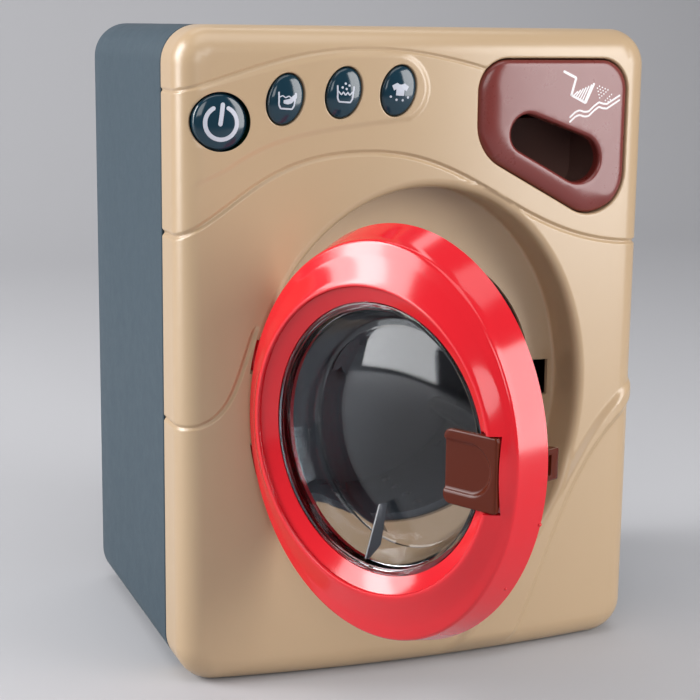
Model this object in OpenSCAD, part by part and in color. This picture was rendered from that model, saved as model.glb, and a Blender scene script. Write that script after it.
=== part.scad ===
// Toy washing machine: crowned front panel, dished door window, turning drum,
// detergent drawer, sprung buttons and a battery-driven gear train.
// +Z is up, the front faces -Y, and the origin is the middle of the base.

/* [Cabinet] */
// Width of the cabinet
body_w = 162; // [158:1:180]
// Height of the cabinet
body_h = 210; // [207:1:230]
// Depth from the front panel's side edges to the back
body_d = 120; // [116:1:150]
// Bulge of the front panel beyond its side edges
crown = 6.5; // [5:0.5:8]
// Corner radius of the cabinet seen from the front
corner_r = 12; // [10:1:16]
// Rounding between the front panel and the sides
edge_r = 9; // [6:1:10]
// Rounding of the back edges
back_r = 4; // [3:0.5:6]
// Depth of the front shell behind the panel's side edges
front_depth = 20; // [18:1:24]
// Wall of the mouldings
wall = 2.4; // [2:0.2:2.8]
// Shadow gap between the front and the rear shell
seam = 0.6; // [0.4:0.1:1]
// Width of the moulded creases in the front panel
crease_w = 1.5; // [1:0.1:2]
// Depth of the creases and height of the raised bands
relief = 0.8; // [0.5:0.1:1]

/* [Door recess] */
// Height of the centre of the door and the drum
door_z = 91.5; // [90:0.5:93]
// Half width of the recess
recess_a = 56.5; // [56:0.5:58]
// Half height of the recess
recess_b = 68.5; // [66:0.5:70]
// Depth of the recess floor behind the panel's side edges
recess_depth = 13.5; // [13:0.5:15]
// Radius of the drum opening in the recess floor
mouth_r = 47; // [45:0.5:47.5]

/* [Door] */
// Opening angle of the door as shown
door_open = 64; // [0:1:76]
// Distance of the window's rim plane in front of the panel's side edges
door_set = 4; // [3:0.5:5]
// Half width of the ring's front edge
ring_a = 52; // [51:0.5:53]
// Half height of the ring's front edge
ring_b = 59.4; // [57:0.1:60]
// Draft of the ring's side wall from front to back
ring_draft = 3.2; // [2:0.2:3.4]
// Depth of the ring's side wall
ring_depth = 9; // [8:0.5:10]
// Rise of the ring's front from its outer edge to its inner edge
ring_rise = 5; // [3:0.5:6]
// Radius of the ring's inner edge
lip_r = 45; // [44:0.5:46]
// Radius of the window aperture
window_r = 40.6; // [39:0.2:41]
// Depth of the window's dish
dish_depth = 9; // [7:0.5:10]
// Wall of the window
window_t = 1.6; // [1.2:0.1:2]
// Distance of the hinge axis from the cabinet's middle
hinge_x = 56.4; // [56:0.1:57]
// Depth of the hinge axis behind the panel's side edges
hinge_depth = 0.8; // [0.6:0.1:1.4]
// Radius of the hinge pin
hinge_r = 1.1; // [0.9:0.05:1.2]
// Radius of a hinge lug
lug_r = 2.3; // [2.1:0.1:2.5]
// Length of one hinge lug
lug_len = 10; // [8:1:12]
// Distance from the door's middle to the middle of a lug
lug_z = 17; // [15:0.5:19]

/* [Latch] */
// Height of the latch plate
latch_h = 22; // [20:1:24]
// Length of the latch plate
latch_len = 19; // [17:0.5:20]
// Thickness of the latch plate
latch_t = 2; // [1.6:0.1:2.4]
// Distance of the latch pin from the door's middle
latch_x = 48.6; // [48:0.1:49]
// Height of the hook
hook_h = 9; // [7:0.5:10]
// Width of the latch slot in the recess floor
slot_w = 7.4; // [7:0.2:8]
// Height of the latch slot in the recess floor
slot_h = 12.5; // [11:0.5:14]

/* [Buttons] */
// Radius of the round power button
power_r = 8.6; // [8:0.1:9]
// Half width of a mode button
mode_a = 5.5; // [5:0.1:6]
// Half height of a mode button
mode_b = 7.9; // [7.4:0.1:8.2]
// Lean of the mode buttons
mode_tilt = 16; // [10:1:20]
// Travel of a button
travel = 1.5; // [1:0.1:2]
// Running gap round a button
button_gap = 0.3; // [0.2:0.05:0.4]

/* [Drawer] */
// Left edge of the drawer front
drawer_x0 = 16.3; // [15.5:0.1:18]
// Distance from the drawer front's right edge to the cabinet's side
drawer_side = 9.3; // [9:0.1:11]
// Top edge of the drawer front below the cabinet's top
drawer_top = 10; // [9:0.5:12]
// Height of the drawer front's left side
drawer_left_h = 29.1; // [27:0.1:31]
// Height of the drawer front's right side
drawer_right_h = 58.6; // [56:0.1:60]
// Length of the drawer tray behind its front
tray_len = 52; // [44:1:56]
// How far the drawer pulls out
drawer_pull = 40; // [30:1:42]

/* [Drum and drive] */
// Inner radius of the drum
drum_r = 46.5; // [45:0.5:47]
// Depth of the drum
drum_depth = 47; // [42:1:48]
// Wall of the drum
drum_t = 1.4; // [1.2:0.1:1.8]
// Number of rows of drain holes
drum_rows = 12; // [8:1:14]
// Radius of the drum shaft
shaft_r = 2.5; // [2:0.1:3]
// Gear module
gear_m = 1; // [1:0.05:1.05]
// Teeth of the drum gear
drum_teeth = 48; // [44:2:48]
// Teeth of the small idler wheel
small_teeth = 14; // [13:1:14]
// Teeth of the large idler wheel
large_teeth = 36; // [32:2:36]
// Teeth of the motor pinion
pinion_teeth = 12; // [11:1:12]
// Face width of the gears
gear_w = 5; // [4:0.5:5]

/* [Battery bay] */
// Radius of a cell
cell_r = 7.2; // [7:0.1:7.25]
// Length of a cell
cell_len = 50; // [49:0.5:50.5]
// Height of the bay's middle above the base
bay_z = 36; // [34:1:40]

/* [Hidden] */
$fn = 64;
eps = 0.01;
far = 400;

// Gaps shared by several pieces
seat = 0.1;             // a piece laid on its seat
run = 0.05;             // a shaft in its bearing
side_gap = 0.5;         // a drawer or a lid in its opening

// Planes across the cabinet, from front to back
front_y = -body_d / 2;
back_y = body_d / 2;
seam_y = front_y + front_depth;
floor_y = front_y + recess_depth;
floor_t = 1.8;
crown_r = (pow(body_w / 2, 2) + crown * crown) / (2 * crown);
crown_y = front_y - crown + crown_r;
tip_y = front_y - crown;

// Height of the panel's outer face at a distance from the middle
function panel_y(x) = crown_y - sqrt(crown_r * crown_r - x * x);

// ---------- outline helpers ----------

// Points of an arc
function arc(c, r, a0, a1, n = 10) =
    [for (i = [0:n]) c + r * [cos(a0 + (a1 - a0) * i / n), sin(a0 + (a1 - a0) * i / n)]];

// Cubic curve through its four control points' span
function bezier(p, n = 14) =
    [for (i = [0:n]) let (t = i / n, u = 1 - t)
        u * u * u * p[0] + 3 * u * u * t * p[1] + 3 * u * t * t * p[2] + t * t * t * p[3]];

function rest(list) = [for (i = [1:len(list) - 1]) list[i]];

function unit(v) = v / norm(v);

// Corner of a closed outline replaced by an arc of radius r (outline runs clockwise)
function round_corner(a, b, c, r, n = 8) =
    let (u = unit(a - b), v = unit(c - b), half = acos(u * v) / 2,
         m = b + unit(u + v) * r / sin(half),
         p = b + u * r / tan(half), q = b + v * r / tan(half),
         a0 = atan2(p[1] - m[1], p[0] - m[0]), a1 = atan2(q[1] - m[1], q[0] - m[0]),
         d = a1 - a0, turn = d > 180 ? d - 360 : d < -180 ? d + 360 : d)
    arc(m, r, a0, a0 + turn, n);

function round_path(pts, rs) =
    let (n = len(pts))
    [for (i = [0:n - 1]) each round_corner(pts[(i + n - 1) % n], pts[i], pts[(i + 1) % n], rs[i])];

// Closed outline of a line of two circles of different size
function slot_path(c1, r1, c2, r2) =
    let (d = c2 - c1, base = atan2(d[1], d[0]), half = acos((r1 - r2) / norm(d)))
    concat(arc(c1, r1, base + half, base + 360 - half), arc(c2, r2, base - half, base + half));

// Strip of a given width that follows a line of points
function strip(pts, w) =
    let (n = len(pts),
         side = [for (i = [0:n - 1]) let (t = unit(pts[min(i + 1, n - 1)] - pts[max(i - 1, 0)]))
                 [-t[1], t[0]] * w / 2])
    concat([for (i = [0:n - 1]) pts[i] + side[i]], [for (i = [n - 1:-1:0]) pts[i] - side[i]]);

// Flat shape in the front view, from y0 to y1
module front_prism(y0, y1) {
    translate([0, y1, 0]) rotate([90, 0, 0]) linear_extrude(y1 - y0) children();
}

module rod_y(x, z, r, y0, y1) {
    front_prism(y0, y1) translate([x, z]) circle(r);
}

module tube_y(x, z, r_out, r_in, y0, y1) {
    front_prism(y0, y1) translate([x, z]) difference() {
        circle(r_out);
        circle(r_in);
    }
}

// Ellipse, half widths a and b, from a ring of points
module oval(a, b) {
    polygon([for (i = [0:$fn - 1]) [a * cos(i * 360 / $fn), b * sin(i * 360 / $fn)]]);
}

module rounded_rect(w, h, r) {
    square([w - 2 * r, h], center = true);
    square([w, h - 2 * r], center = true);
    for (x = [-1, 1], z = [-1, 1]) translate([x * (w / 2 - r), z * (h / 2 - r)]) circle(r);
}

// ---------- the cabinet's form ----------

module cabinet_outline(inset) {
    translate([0, body_h / 2])
        rounded_rect(body_w - 2 * inset, body_h - 2 * inset, corner_r - inset);
}

// Upright cylinder that is the crown of the panel, sunk by inset
module crown_cylinder(inset) {
    translate([0, crown_y, -far / 8]) cylinder(r = crown_r - inset, h = far, $fn = 1440);
}

// Where the rounding between the panel and the sides begins
corner_y = crown_y - sqrt(pow(crown_r - edge_r, 2) - pow(body_w / 2 - edge_r, 2));

// Plan of the front half: straight sides, rounded edges and the crowned face
turn = asin((body_w / 2 - edge_r) / (crown_r - edge_r));
front_plan = concat(
    [[-body_w / 2, seam_y]],
    arc([edge_r - body_w / 2, corner_y], edge_r, 180, 270 - turn),
    [for (i = [1:27]) let (a = turn * (i / 14 - 1)) [0, crown_y] + crown_r * [sin(a), -cos(a)]],
    arc([body_w / 2 - edge_r, corner_y], edge_r, 270 + turn, 360),
    [[body_w / 2, seam_y]]);

// Front half of the cabinet
module front_form() {
    soften = 0.1;
    difference() {
        linear_extrude(body_h) polygon(front_plan);
        // rounded top and bottom edges, turned about the crown's axis
        for (top = [0, 1]) translate([0, crown_y, top * body_h]) mirror([0, 0, top])
            rotate([0, 0, -100]) rotate_extrude(angle = 20, $fn = 720) difference() {
                translate([crown_r - edge_r, -1]) square([edge_r + 5, edge_r + 1]);
                translate([crown_r - edge_r, edge_r]) circle(edge_r + soften);
            }
        // rounded corners of the front view
        for (s = [-1, 1], z = [-1, 1])
            front_prism(tip_y - 1, seam_y + 1)
                translate([s * (body_w / 2 - corner_r), body_h / 2 + z * (body_h / 2 - corner_r)])
                    difference() {
                        translate([s > 0 ? 0 : -corner_r - 1, z > 0 ? 0 : -corner_r - 1])
                            square(corner_r + 1);
                        circle(corner_r + soften);
                    }
    }
}

// Hollow of the front shell, stepped in behind the rounded edges
module front_hollow() {
    front_prism(corner_y, seam_y + 1) cabinet_outline(wall);
    intersection() {
        front_prism(tip_y, corner_y + 1) cabinet_outline(wall + edge_r / 2.4);
        crown_cylinder(wall);
    }
}

// Rear half of the cabinet with rounded back edges
module rear_form() {
    $fn = 40;
    hull() {
        front_prism(seam_y + seam, back_y - back_r) cabinet_outline(0);
        front_prism(back_y - back_r, back_y - back_r * 0.3) cabinet_outline(back_r * 0.3);
        front_prism(back_y - back_r, back_y) cabinet_outline(back_r);
    }
}

// ---------- front panel relief ----------

// Upper crease, from the left edge over the buttons to the drawer
upper_crease = bezier([[-body_w / 2 - 1, body_h - 20.4], [25 - body_w / 2, body_h - 14],
                       [47 - body_w / 2, body_h + 2], [drawer_x0 + 3.7, body_h - 13.4]]);
// Lower crease, over the door from edge to edge
lower_crease = concat(
    bezier([[-body_w / 2 - 1, 145], [-62, 153.5], [-56, 171.3], [-21, 171.3]]),
    rest(bezier([[-21, 171.3], [18, 171.3], [32, 139.4], [body_w / 2 + 1, 139.4]])));
// Left crease, sweeping up beside the door
left_crease = bezier([[-body_w / 2 - 1, 85.4], [-65, 85.6], [-64, 97], [-57.5, 116]]);
// Upper and lower edge of the raised band that sweeps from the right side to the base
sweep_upper = bezier([[body_w / 2 + 1, 91.5], [54, 79], [51, 38], [4, -1]]);
sweep_lower = bezier([[30, -1], [48, 30], [50, 66], [body_w / 2 + 1, 85.5]]);
// Raised pad under the buttons, with a rounded right end
pad_path = [for (p = concat(
    bezier([[1, -19.4], [23, -14], [43, -7], [69, -8.6]]),
    arc([68.5, -19], 10.4, 80, -62),
    rest(bezier([[73.4, -28.2], [43, -31.5], [29, -33], [15, -43.4]], 8)),
    [[1, -49]])) [-body_w / 2, body_h] + p];

// Raised bands: a skin on the panel's face inside their flat outlines
module panel_bands() {
    flat_half = body_w / 2 - edge_r * 0.7;
    intersection() {
        front_prism(tip_y - 3, front_y + 3) {
            polygon(concat(sweep_upper, sweep_lower));
            polygon(pad_path);
        }
        crown_cylinder(-relief);
        translate([-flat_half, tip_y - 3, edge_r * 0.6]) cube([2 * flat_half, far, far]);
    }
}

// Moulded creases: grooves of even depth in the panel's face
module creases() {
    difference() {
        front_prism(tip_y - 3, front_y + 3)
            for (pts = [upper_crease, lower_crease, left_crease]) polygon(strip(pts, crease_w));
        crown_cylinder(relief);
    }
}

// ---------- places shared by the shells and what they hold ----------

corner = [-body_w / 2, body_h];     // top left corner, which the buttons and their board keep to
button_spots = [for (p = [[32.9, -22.2], [51.3, -20.2], [69.1, -19.6]]) corner + p];
power_spot = corner + [13, -29];
board_posts = [for (p = [[23, -13.8], [42.1, -32.8], [60.2, -31.2]]) corner + p];
board_y = front_y + 13;
board_t = 1.6;
flange_w = 0.6;
casing_spots = [[13 - body_w / 2, 14], [body_w / 2 - 13, 14], corner + [13, -11],
                [drawer_x0 - 7.1, body_h - 10], [body_w / 2 - 6, 128]];
well_r = 4;
screw_r = 1.45;
pilot_r = 1.2;
head_r = 2.7;
tub_out = drum_r + 6;
drum_front = floor_y + floor_t + 3.2;
drum_back = drum_front + drum_depth;
tub_back = drum_back + 4.2;
tub_spots = [for (a = [45:90:315]) [(tub_out + 4.5) * cos(a), door_z + (tub_out + 4.5) * sin(a)]];
door_y = front_y - door_set;
hinge_y = front_y + hinge_depth;
pin_half = lug_z + lug_len / 2 + side_gap + 4;
tub_seat = floor_y + floor_t + 5.5;
tub_boss_r = 3.4;

drawer_x1 = body_w / 2 - drawer_side;
drawer_pts = [[drawer_x0, body_h - drawer_top], [drawer_x1, body_h - drawer_top],
              [drawer_x1, body_h - drawer_top - drawer_right_h],
              [drawer_x0, body_h - drawer_top - drawer_left_h]];
drawer_rs = [10, 10, 13.2, 15];

// Drawer outline, grown by g
module drawer_outline(g) {
    slope = atan2(drawer_right_h - drawer_left_h, drawer_x1 - drawer_x0);
    lift = 1 / cos(slope);
    polygon(round_path(
        [drawer_pts[0] + [-g, g], drawer_pts[1] + [g, g],
         drawer_pts[2] + [g, -g * (lift + tan(slope))],
         drawer_pts[3] + [-g, -g * (lift - tan(slope))]],
        [for (r = drawer_rs) max(r + g, 1)]));
}

module power_shape(g) {
    translate(power_spot) circle(power_r + g);
}

module mode_shape(spot, g) {
    translate(spot) rotate(-mode_tilt) oval(mode_a + g, mode_b + g);
}

module all_button_shapes(g) {
    power_shape(g);
    for (s = button_spots) mode_shape(s, g);
}

// Turn the closed door about its hinge to the shown angle
module door_pose() {
    translate([-hinge_x, hinge_y, 0]) rotate([0, 0, -door_open])
        translate([hinge_x, -hinge_y, 0]) children();
}

// ---------- cabinet ----------

guide_len = 3;
guide_y = front_y + 2;

// Bent arm from the hinge axis to the back of the ring's wall
arm_pts = [[1.2, -0.6], [8, 2.6], [8, 5.2], [2.4, 5.2], [-1.2, 1]];

// Room for one hinge lug and its arm over the whole swing
module hinge_pocket(s) {
    reach = lug_r + side_gap;
    translate([-hinge_x, hinge_y, door_z + s * lug_z - lug_len / 2 - side_gap])
        linear_extrude(lug_len + 2 * side_gap) {
            circle(reach);
            translate([0, -reach]) square([hinge_x / 4, reach + arm_pts[2][1] + side_gap]);
            // open at the front, where the bent arm swings out
            translate([0, tip_y - 2 - hinge_y]) square([hinge_x / 4, hinge_y - tip_y + 2]);
        }
}

// What the front shell carries inside: recess, sleeves, guides and bosses
module front_features() {
    front_prism(tip_y, floor_y + floor_t)
        translate([0, door_z]) oval(recess_a + wall, recess_b + wall);
    front_prism(tip_y, seam_y - 4) drawer_outline(side_gap + 1.8);
    front_prism(tip_y, guide_y) all_button_shapes(button_gap + 1.2);
    for (p = casing_spots)
        rod_y(p[0], p[1], well_r, abs(p[0]) + well_r > body_w / 2 - edge_r ? corner_y : tip_y, seam_y);
    for (p = board_posts) rod_y(p[0], p[1], 2.4, tip_y, board_y);
    for (p = tub_spots) rod_y(p[0], p[1], tub_boss_r, floor_y + 0.4, tub_seat);
    for (s = [-1, 1])
        translate([-hinge_x - lug_r - 2, tip_y, door_z + s * lug_z - lug_len / 2 - 6])
            cube([lug_r * 2 + 4, hinge_y + arm_pts[2][1] + 2.5 - tip_y, lug_len + 12]);
}

module front_shell() color("burlywood") {
    difference() {
        union() {
            difference() {
                front_form();
                front_hollow();
            }
            intersection() {
                front_features();
                crown_cylinder(wall * 0.8);
            }
            difference() {
                panel_bands();
                crown_cylinder(1);
            }
        }
        front_prism(tip_y - 2, floor_y) translate([0, door_z]) oval(recess_a, recess_b);
        hull() {
            front_prism(tip_y - 2, tip_y - 1) translate([0, door_z]) oval(recess_a + 3.6, recess_b + 3.6);
            front_prism(front_y - 1.5, front_y - 1) translate([0, door_z]) oval(recess_a, recess_b);
        }
        front_prism(floor_y - 1, floor_y + 5) translate([0, door_z]) circle(mouth_r);
        front_prism(floor_y - 1, floor_y + 5)
            translate([latch_x - 2.2, door_z - slot_h / 2]) square([slot_w, slot_h]);
        front_prism(tip_y - 2, seam_y) drawer_outline(side_gap);
        front_prism(tip_y - 2, seam_y) all_button_shapes(button_gap);
        front_prism(guide_y, seam_y) all_button_shapes(button_gap + flange_w + 0.3);
        for (s = [-1, 1]) hinge_pocket(s);
        translate([-hinge_x, hinge_y, door_z - pin_half - 0.1])
            cylinder(r = hinge_r + run, h = 2 * pin_half + 0.2);
        for (p = casing_spots) rod_y(p[0], p[1], pilot_r, front_y + 8, seam_y + 2);
        for (p = board_posts) rod_y(p[0], p[1], 0.9, front_y + 2, board_y + 1);
        for (p = tub_spots) rod_y(p[0], p[1], pilot_r, floor_y + 1.2, tub_seat + 1);
        creases();
    }
}

bay_w = cell_len + 11;
bay_h = 4 * cell_r + 3.4;
bay_d = 2 * cell_r + 2.2;
cover_t = 2;
cover_w = bay_w + 10;
cover_h = bay_h + 12;
cover_screw_z = bay_z + bay_h / 2 + 2.4;
spk = [-36, 166];
spk_r = 18;
spk_ring_y = back_y - wall - 7;

// What the rear shell carries inside: screw wells, battery box and speaker ring
module rear_features() {
    for (p = casing_spots) rod_y(p[0], p[1], well_r, seam_y, back_y);
    translate([-bay_w / 2 - 2, back_y - bay_d - 2 - wall, bay_z - bay_h / 2 - 2])
        cube([bay_w + 4, bay_d + 2 + wall, bay_h + 4]);
    rod_y(0, cover_screw_z, 4, back_y - 14, back_y);
    tube_y(spk[0], spk[1], spk_r + 2, spk_r + 0.2, spk_ring_y, back_y - 1);
    for (s = [-1, 1]) rod_y(spk[0] + s * (spk_r + 5), spk[1], 3.4, spk_ring_y, back_y - 1);
}

// Lip that centres the front shell on the rear shell
module rear_lip() {
    lip_t = 1.2;
    lip_len = 3;
    foot = 2;
    difference() {
        union() {
            front_prism(seam_y - lip_len, seam_y + seam + foot) cabinet_outline(wall + side_gap / 2);
            front_prism(seam_y + seam, seam_y + seam + foot) cabinet_outline(wall - 0.2);
        }
        front_prism(seam_y - lip_len - 1, seam_y + seam + foot + 1)
            cabinet_outline(wall + side_gap / 2 + lip_t);
        for (p = casing_spots)
            rod_y(p[0], p[1], well_r + side_gap, seam_y - lip_len - 1, seam_y + seam);
    }
}

module rear_shell() color("lightslategray") {
    difference() {
        union() {
            difference() {
                rear_form();
                difference() {
                    front_prism(seam_y, back_y - wall) cabinet_outline(wall);
                    rear_features();
                }
            }
            for (p = casing_spots) rod_y(p[0], p[1], well_r, seam_y + seat, seam_y + seam + 1);
            rear_lip();
        }
        // screw wells, open at the back
        for (p = casing_spots) {
            rod_y(p[0], p[1], screw_r + 0.15, seam_y - 1, back_y + 1);
            rod_y(p[0], p[1], head_r + 0.4, seam_y + 8, back_y + 1);
        }
        // battery bay and the seat of its cover
        translate([-bay_w / 2, back_y - bay_d - wall, bay_z - bay_h / 2])
            cube([bay_w, bay_d + wall + 1, bay_h]);
        front_prism(back_y - cover_t - seat, back_y + 1) translate([0, bay_z])
            rounded_rect(cover_w + side_gap, cover_h + side_gap, 4);
        rod_y(0, cover_screw_z, 0.95, back_y - 12, back_y);
        // pocket for the cover's tongue
        translate([-8.5, back_y - cover_t - 2.4, bay_z - cover_h / 2 - 2.6]) cube([17, 2.6, 8]);
        // sound holes in rings
        rod_y(spk[0], spk[1], 1.1, back_y - 5, back_y + 1);
        for (ring = [1:3], i = [0:ring * 6 - 1])
            rod_y(spk[0] + ring * 4.4 * cos(i * 60 / ring), spk[1] + ring * 4.4 * sin(i * 60 / ring),
                  1.1, back_y - 5, back_y + 1);
        for (s = [-1, 1]) rod_y(spk[0] + s * (spk_r + 5), spk[1], 0.9, spk_ring_y - 1, back_y - 4);
    }
}

module battery_cover() color("slategray") {
    difference() {
        union() {
            front_prism(back_y - cover_t, back_y) translate([0, bay_z])
                rounded_rect(cover_w, cover_h, 4);
            translate([-8, back_y - cover_t - 2.1, bay_z - cover_h / 2 - 2.2]) cube([16, 2.1, 6]);
            translate([-8, back_y - cover_t - 2.1, bay_z - cover_h / 2 + 2]) cube([16, 2.6, 1.8]);
        }
        rod_y(0, cover_screw_z, screw_r + 0.15, back_y - 6, back_y + 1);
        rod_y(0, cover_screw_z, head_r + 0.2, back_y - 1, back_y + 1);
        // finger grooves
        for (i = [-2:2])
            rod_y(i * 6, bay_z - cover_h / 2 + 8, 1.2, back_y - 0.6, back_y + 1);
    }
}

// Pan-head screw along Y: head at y0, shank running to the front
module screw(spot, y0, length, r, head, head_t = 1.8) {
    difference() {
        union() {
            rod_y(spot[0], spot[1], r, y0 - length, y0);
            rod_y(spot[0], spot[1], head, y0, y0 + head_t);
        }
        for (turn = [0, 90])
            translate([spot[0], y0 + head_t, spot[1]]) rotate([0, turn, 0])
                cube([head * 1.2, head_t, 0.7], center = true);
    }
}

module cover_screw() color("silver") {
    screw([0, cover_screw_z], back_y - 1 + eps, 10, 0.9, head_r - 0.3, 0.9);
}

module cells() color("goldenrod") {
    for (s = [-1, 1])
        translate([-s * cell_len / 2, back_y - cover_t - cell_r - 0.4, bay_z + s * (cell_r + 0.7)])
            rotate([0, s * 90, 0]) {
                cylinder(r = cell_r, h = cell_len - 1.2);
                translate([0, 0, cell_len - 1.2]) cylinder(r = 2.6, h = 1.2);
            }
}

// Contact plates at the ends of the bay, with conical springs
module battery_contacts() color("silver") {
    plate_t = 0.6;
    y = back_y - cover_t - cell_r - 0.4;
    for (s = [-1, 1]) {
        translate([s * (bay_w / 2 - plate_t / 2 - eps), y, bay_z])
            cube([plate_t, 10, bay_h - 4], center = true);
        // one coil pressed on the flat end of a cell
        translate([s * (bay_w / 2 - plate_t), y, bay_z - s * (cell_r + 0.7)]) rotate([0, -s * 90, 0]) {
            for (i = [0:3]) translate([0, 0, 0.4 + i * 1.15])
                rotate_extrude() translate([4.6 - i * 0.4, 0]) circle(0.66, $fn = 16);
        }
        translate([s * (bay_w / 2 - plate_t - 2.3), y, bay_z + s * (cell_r + 0.7)])
            rotate([0, 90, 0]) cylinder(r = 3, h = 4.6, center = true);
    }
}

module casing_screws() color("silver") {
    for (p = casing_spots) screw(p, seam_y + 8 + eps, 18, 1.15, head_r);
}

// ---------- drum, tub and drive ----------

gear_y = tub_back + 3.4;
gear_y2 = gear_y + gear_w + 1;
plate_y = gear_y2 + gear_w + 1.4;
plate_t = 2.4;
idler_dist = gear_m * (drum_teeth + small_teeth) / 2;
pinion_dist = gear_m * (large_teeth + pinion_teeth) / 2;
idler_dir = 150;
pinion_dir = 118;
idler_x = idler_dist * cos(idler_dir);
idler_z = door_z + idler_dist * sin(idler_dir);
pinion_x = idler_x + pinion_dist * cos(pinion_dir);
pinion_z = idler_z + pinion_dist * sin(pinion_dir);
axle_r = 1.5;
motor_r = 10;
motor_len = 25;
bush_r = 5;
plate_spots = [[-20, door_z - 26], [30, door_z - 8], [4, door_z + 34], [-47, door_z - 2]];
arm_r = 3.4;

module tub() color("dimgray") {
    ear_t = 3;
    difference() {
        union() {
            rod_y(0, door_z, tub_out, floor_y + floor_t + seat, tub_back);
            for (p = tub_spots) {
                rod_y(p[0], p[1], tub_boss_r, tub_seat + seat, tub_seat + ear_t);
                translate([0, tub_seat + seat, door_z]) rotate([0, -atan2(p[1] - door_z, p[0]), 0])
                    translate([tub_out - 1.5, 0, -3]) cube([6, ear_t - seat, 6]);
            }
            for (p = plate_spots) rod_y(p[0], p[1], arm_r, tub_back - 1, tub_back + 2);
            rod_y(idler_x, idler_z, arm_r, tub_back - 1, tub_back + 2);
        }
        rod_y(0, door_z, tub_out - 1.6, floor_y, tub_back - 2.4);
        rod_y(0, door_z, bush_r + 0.03, tub_back - 4, tub_back + 4);
        // notch for the door's hook
        translate([latch_x - 3.8, floor_y, door_z - slot_h / 2 - 1]) cube([9.6, 8, slot_h + 2]);
        for (p = tub_spots) rod_y(p[0], p[1], screw_r + 0.15, tub_seat - 1, tub_seat + ear_t + 1);
        for (p = plate_spots) rod_y(p[0], p[1], 0.95, tub_back - 1, tub_back + 3);
        rod_y(idler_x, idler_z, axle_r + 0.03, tub_back - 1, tub_back + 3);
    }
}

module tub_screws() color("silver") {
    for (p = tub_spots) screw(p, tub_seat + 3 + eps, 8, 1.15, head_r);
}

module drum_bush() color("ivory") {
    tube_y(0, door_z, bush_r, shaft_r + run, tub_back - 2.4, tub_back + 2.6);
    tube_y(0, door_z, bush_r + 1.6, shaft_r + run, tub_back + eps, tub_back + 1.6);
}

module drum() color("gainsboro") {
    lifter = 10;
    hole_r = 1.6;
    difference() {
        union() {
            tube_y(0, door_z, drum_r + drum_t, drum_r, drum_front, drum_back);
            rod_y(0, door_z, drum_r + drum_t, drum_back - drum_t, drum_back);
            tube_y(0, door_z, drum_r + drum_t, drum_r - 1, drum_front, drum_front + 1.2);
            // hub for the shaft
            rod_y(0, door_z, 6, drum_back - 8, drum_back + 1);
            // three hollow-looking lifters with rounded tops
            for (a = [90, 210, 330]) translate([0, 0, door_z]) rotate([0, -a, 0]) translate([0, 0, -door_z]) {
                rod_y(drum_r - lifter + 3, door_z, 3, drum_front + 4, drum_back - 1);
                translate([drum_r - lifter + 3, drum_front + 4, door_z - 3])
                    cube([lifter - 2.6, drum_back - drum_front - 5, 6]);
            }
        }
        // drain holes between the lifters
        for (i = [0:drum_rows - 1], row = [0:3]) {
            a = (i + 0.5) * 360 / drum_rows;
            translate([0, drum_front + 9 + row * 10, door_z]) rotate([0, -a, 0])
                translate([drum_r - 3, 0, 0]) rotate([0, 90, 0]) cylinder(r = hole_r, h = 8, $fn = 16);
        }
        rod_y(0, door_z, shaft_r + 0.02, drum_back - 6, drum_back + 2);
    }
}

module drum_shaft() color("silver") {
    rod_y(0, door_z, shaft_r, drum_back - 6 + eps, plate_y + plate_t - 0.2);
}

// Half of the angle that a tooth takes at radius r, on an involute flank
function flank(r, teeth) =
    let (pitch = gear_m * teeth / 2, base = pitch * cos(20),
         inv_p = tan(20) - 20 * PI / 180,
         ang = acos(min(1, base / r)), inv_r = tan(ang) - ang * PI / 180)
    (90 / teeth) * 0.95 + (inv_p - inv_r) * 180 / PI;

module gear_outline(teeth) {
    pitch = gear_m * teeth / 2;
    tip = pitch + gear_m * 0.85;
    root = pitch - gear_m * 1.15;
    base = pitch * cos(20);
    low = max(base + 0.02, root + 0.1);
    radii = [low, (low + tip) / 2, (low * 0.3 + tip * 0.7), tip];
    polygon([for (i = [0:teeth - 1]) let (mid = i * 360 / teeth) each concat(
        [root * [cos(mid - flank(low, teeth) - 0.6), sin(mid - flank(low, teeth) - 0.6)]],
        [for (r = radii) r * [cos(mid - flank(r, teeth)), sin(mid - flank(r, teeth))]],
        [for (k = [3:-1:0]) radii[k] * [cos(mid + flank(radii[k], teeth)), sin(mid + flank(radii[k], teeth))]],
        [root * [cos(mid + flank(low, teeth) + 0.6), sin(mid + flank(low, teeth) + 0.6)]])]);
}

// Spur gear about an axis along Y, one tooth turned to the angle phase
module gear(x, z, teeth, phase, y0, y1, bore) {
    front_prism(y0, y1) translate([x, z]) difference() {
        rotate(phase) gear_outline(teeth);
        circle(bore);
    }
}

module drum_gear() color("ivory") {
    difference() {
        gear(0, door_z, drum_teeth, idler_dir, gear_y, gear_y + gear_w, shaft_r + 0.02);
        // round lightening holes
        for (a = [0:60:300])
            rod_y(14 * cos(a), door_z + 14 * sin(a), 4.4, gear_y - 1, gear_y + gear_w + 1);
    }
    tube_y(0, door_z, 5, shaft_r + 0.02, gear_y - 0.6, plate_y - 0.4);
}

// A gap of the small wheel faces the drum gear's tooth; a tooth of the large wheel faces the pinion
module idler_gear() color("ivory") {
    gear(idler_x, idler_z, small_teeth, idler_dir + 180 + 180 / small_teeth,
         gear_y - 0.5, gear_y2 + eps, axle_r + run);
    gear(idler_x, idler_z, large_teeth, pinion_dir, gear_y2, gear_y2 + gear_w, axle_r + run);
    tube_y(idler_x, idler_z, 4, axle_r + run, gear_y - 1, plate_y - 0.4);
}

module idler_axle() color("silver") {
    rod_y(idler_x, idler_z, axle_r, tub_back - 1 + eps, plate_y + plate_t);
}

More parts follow.
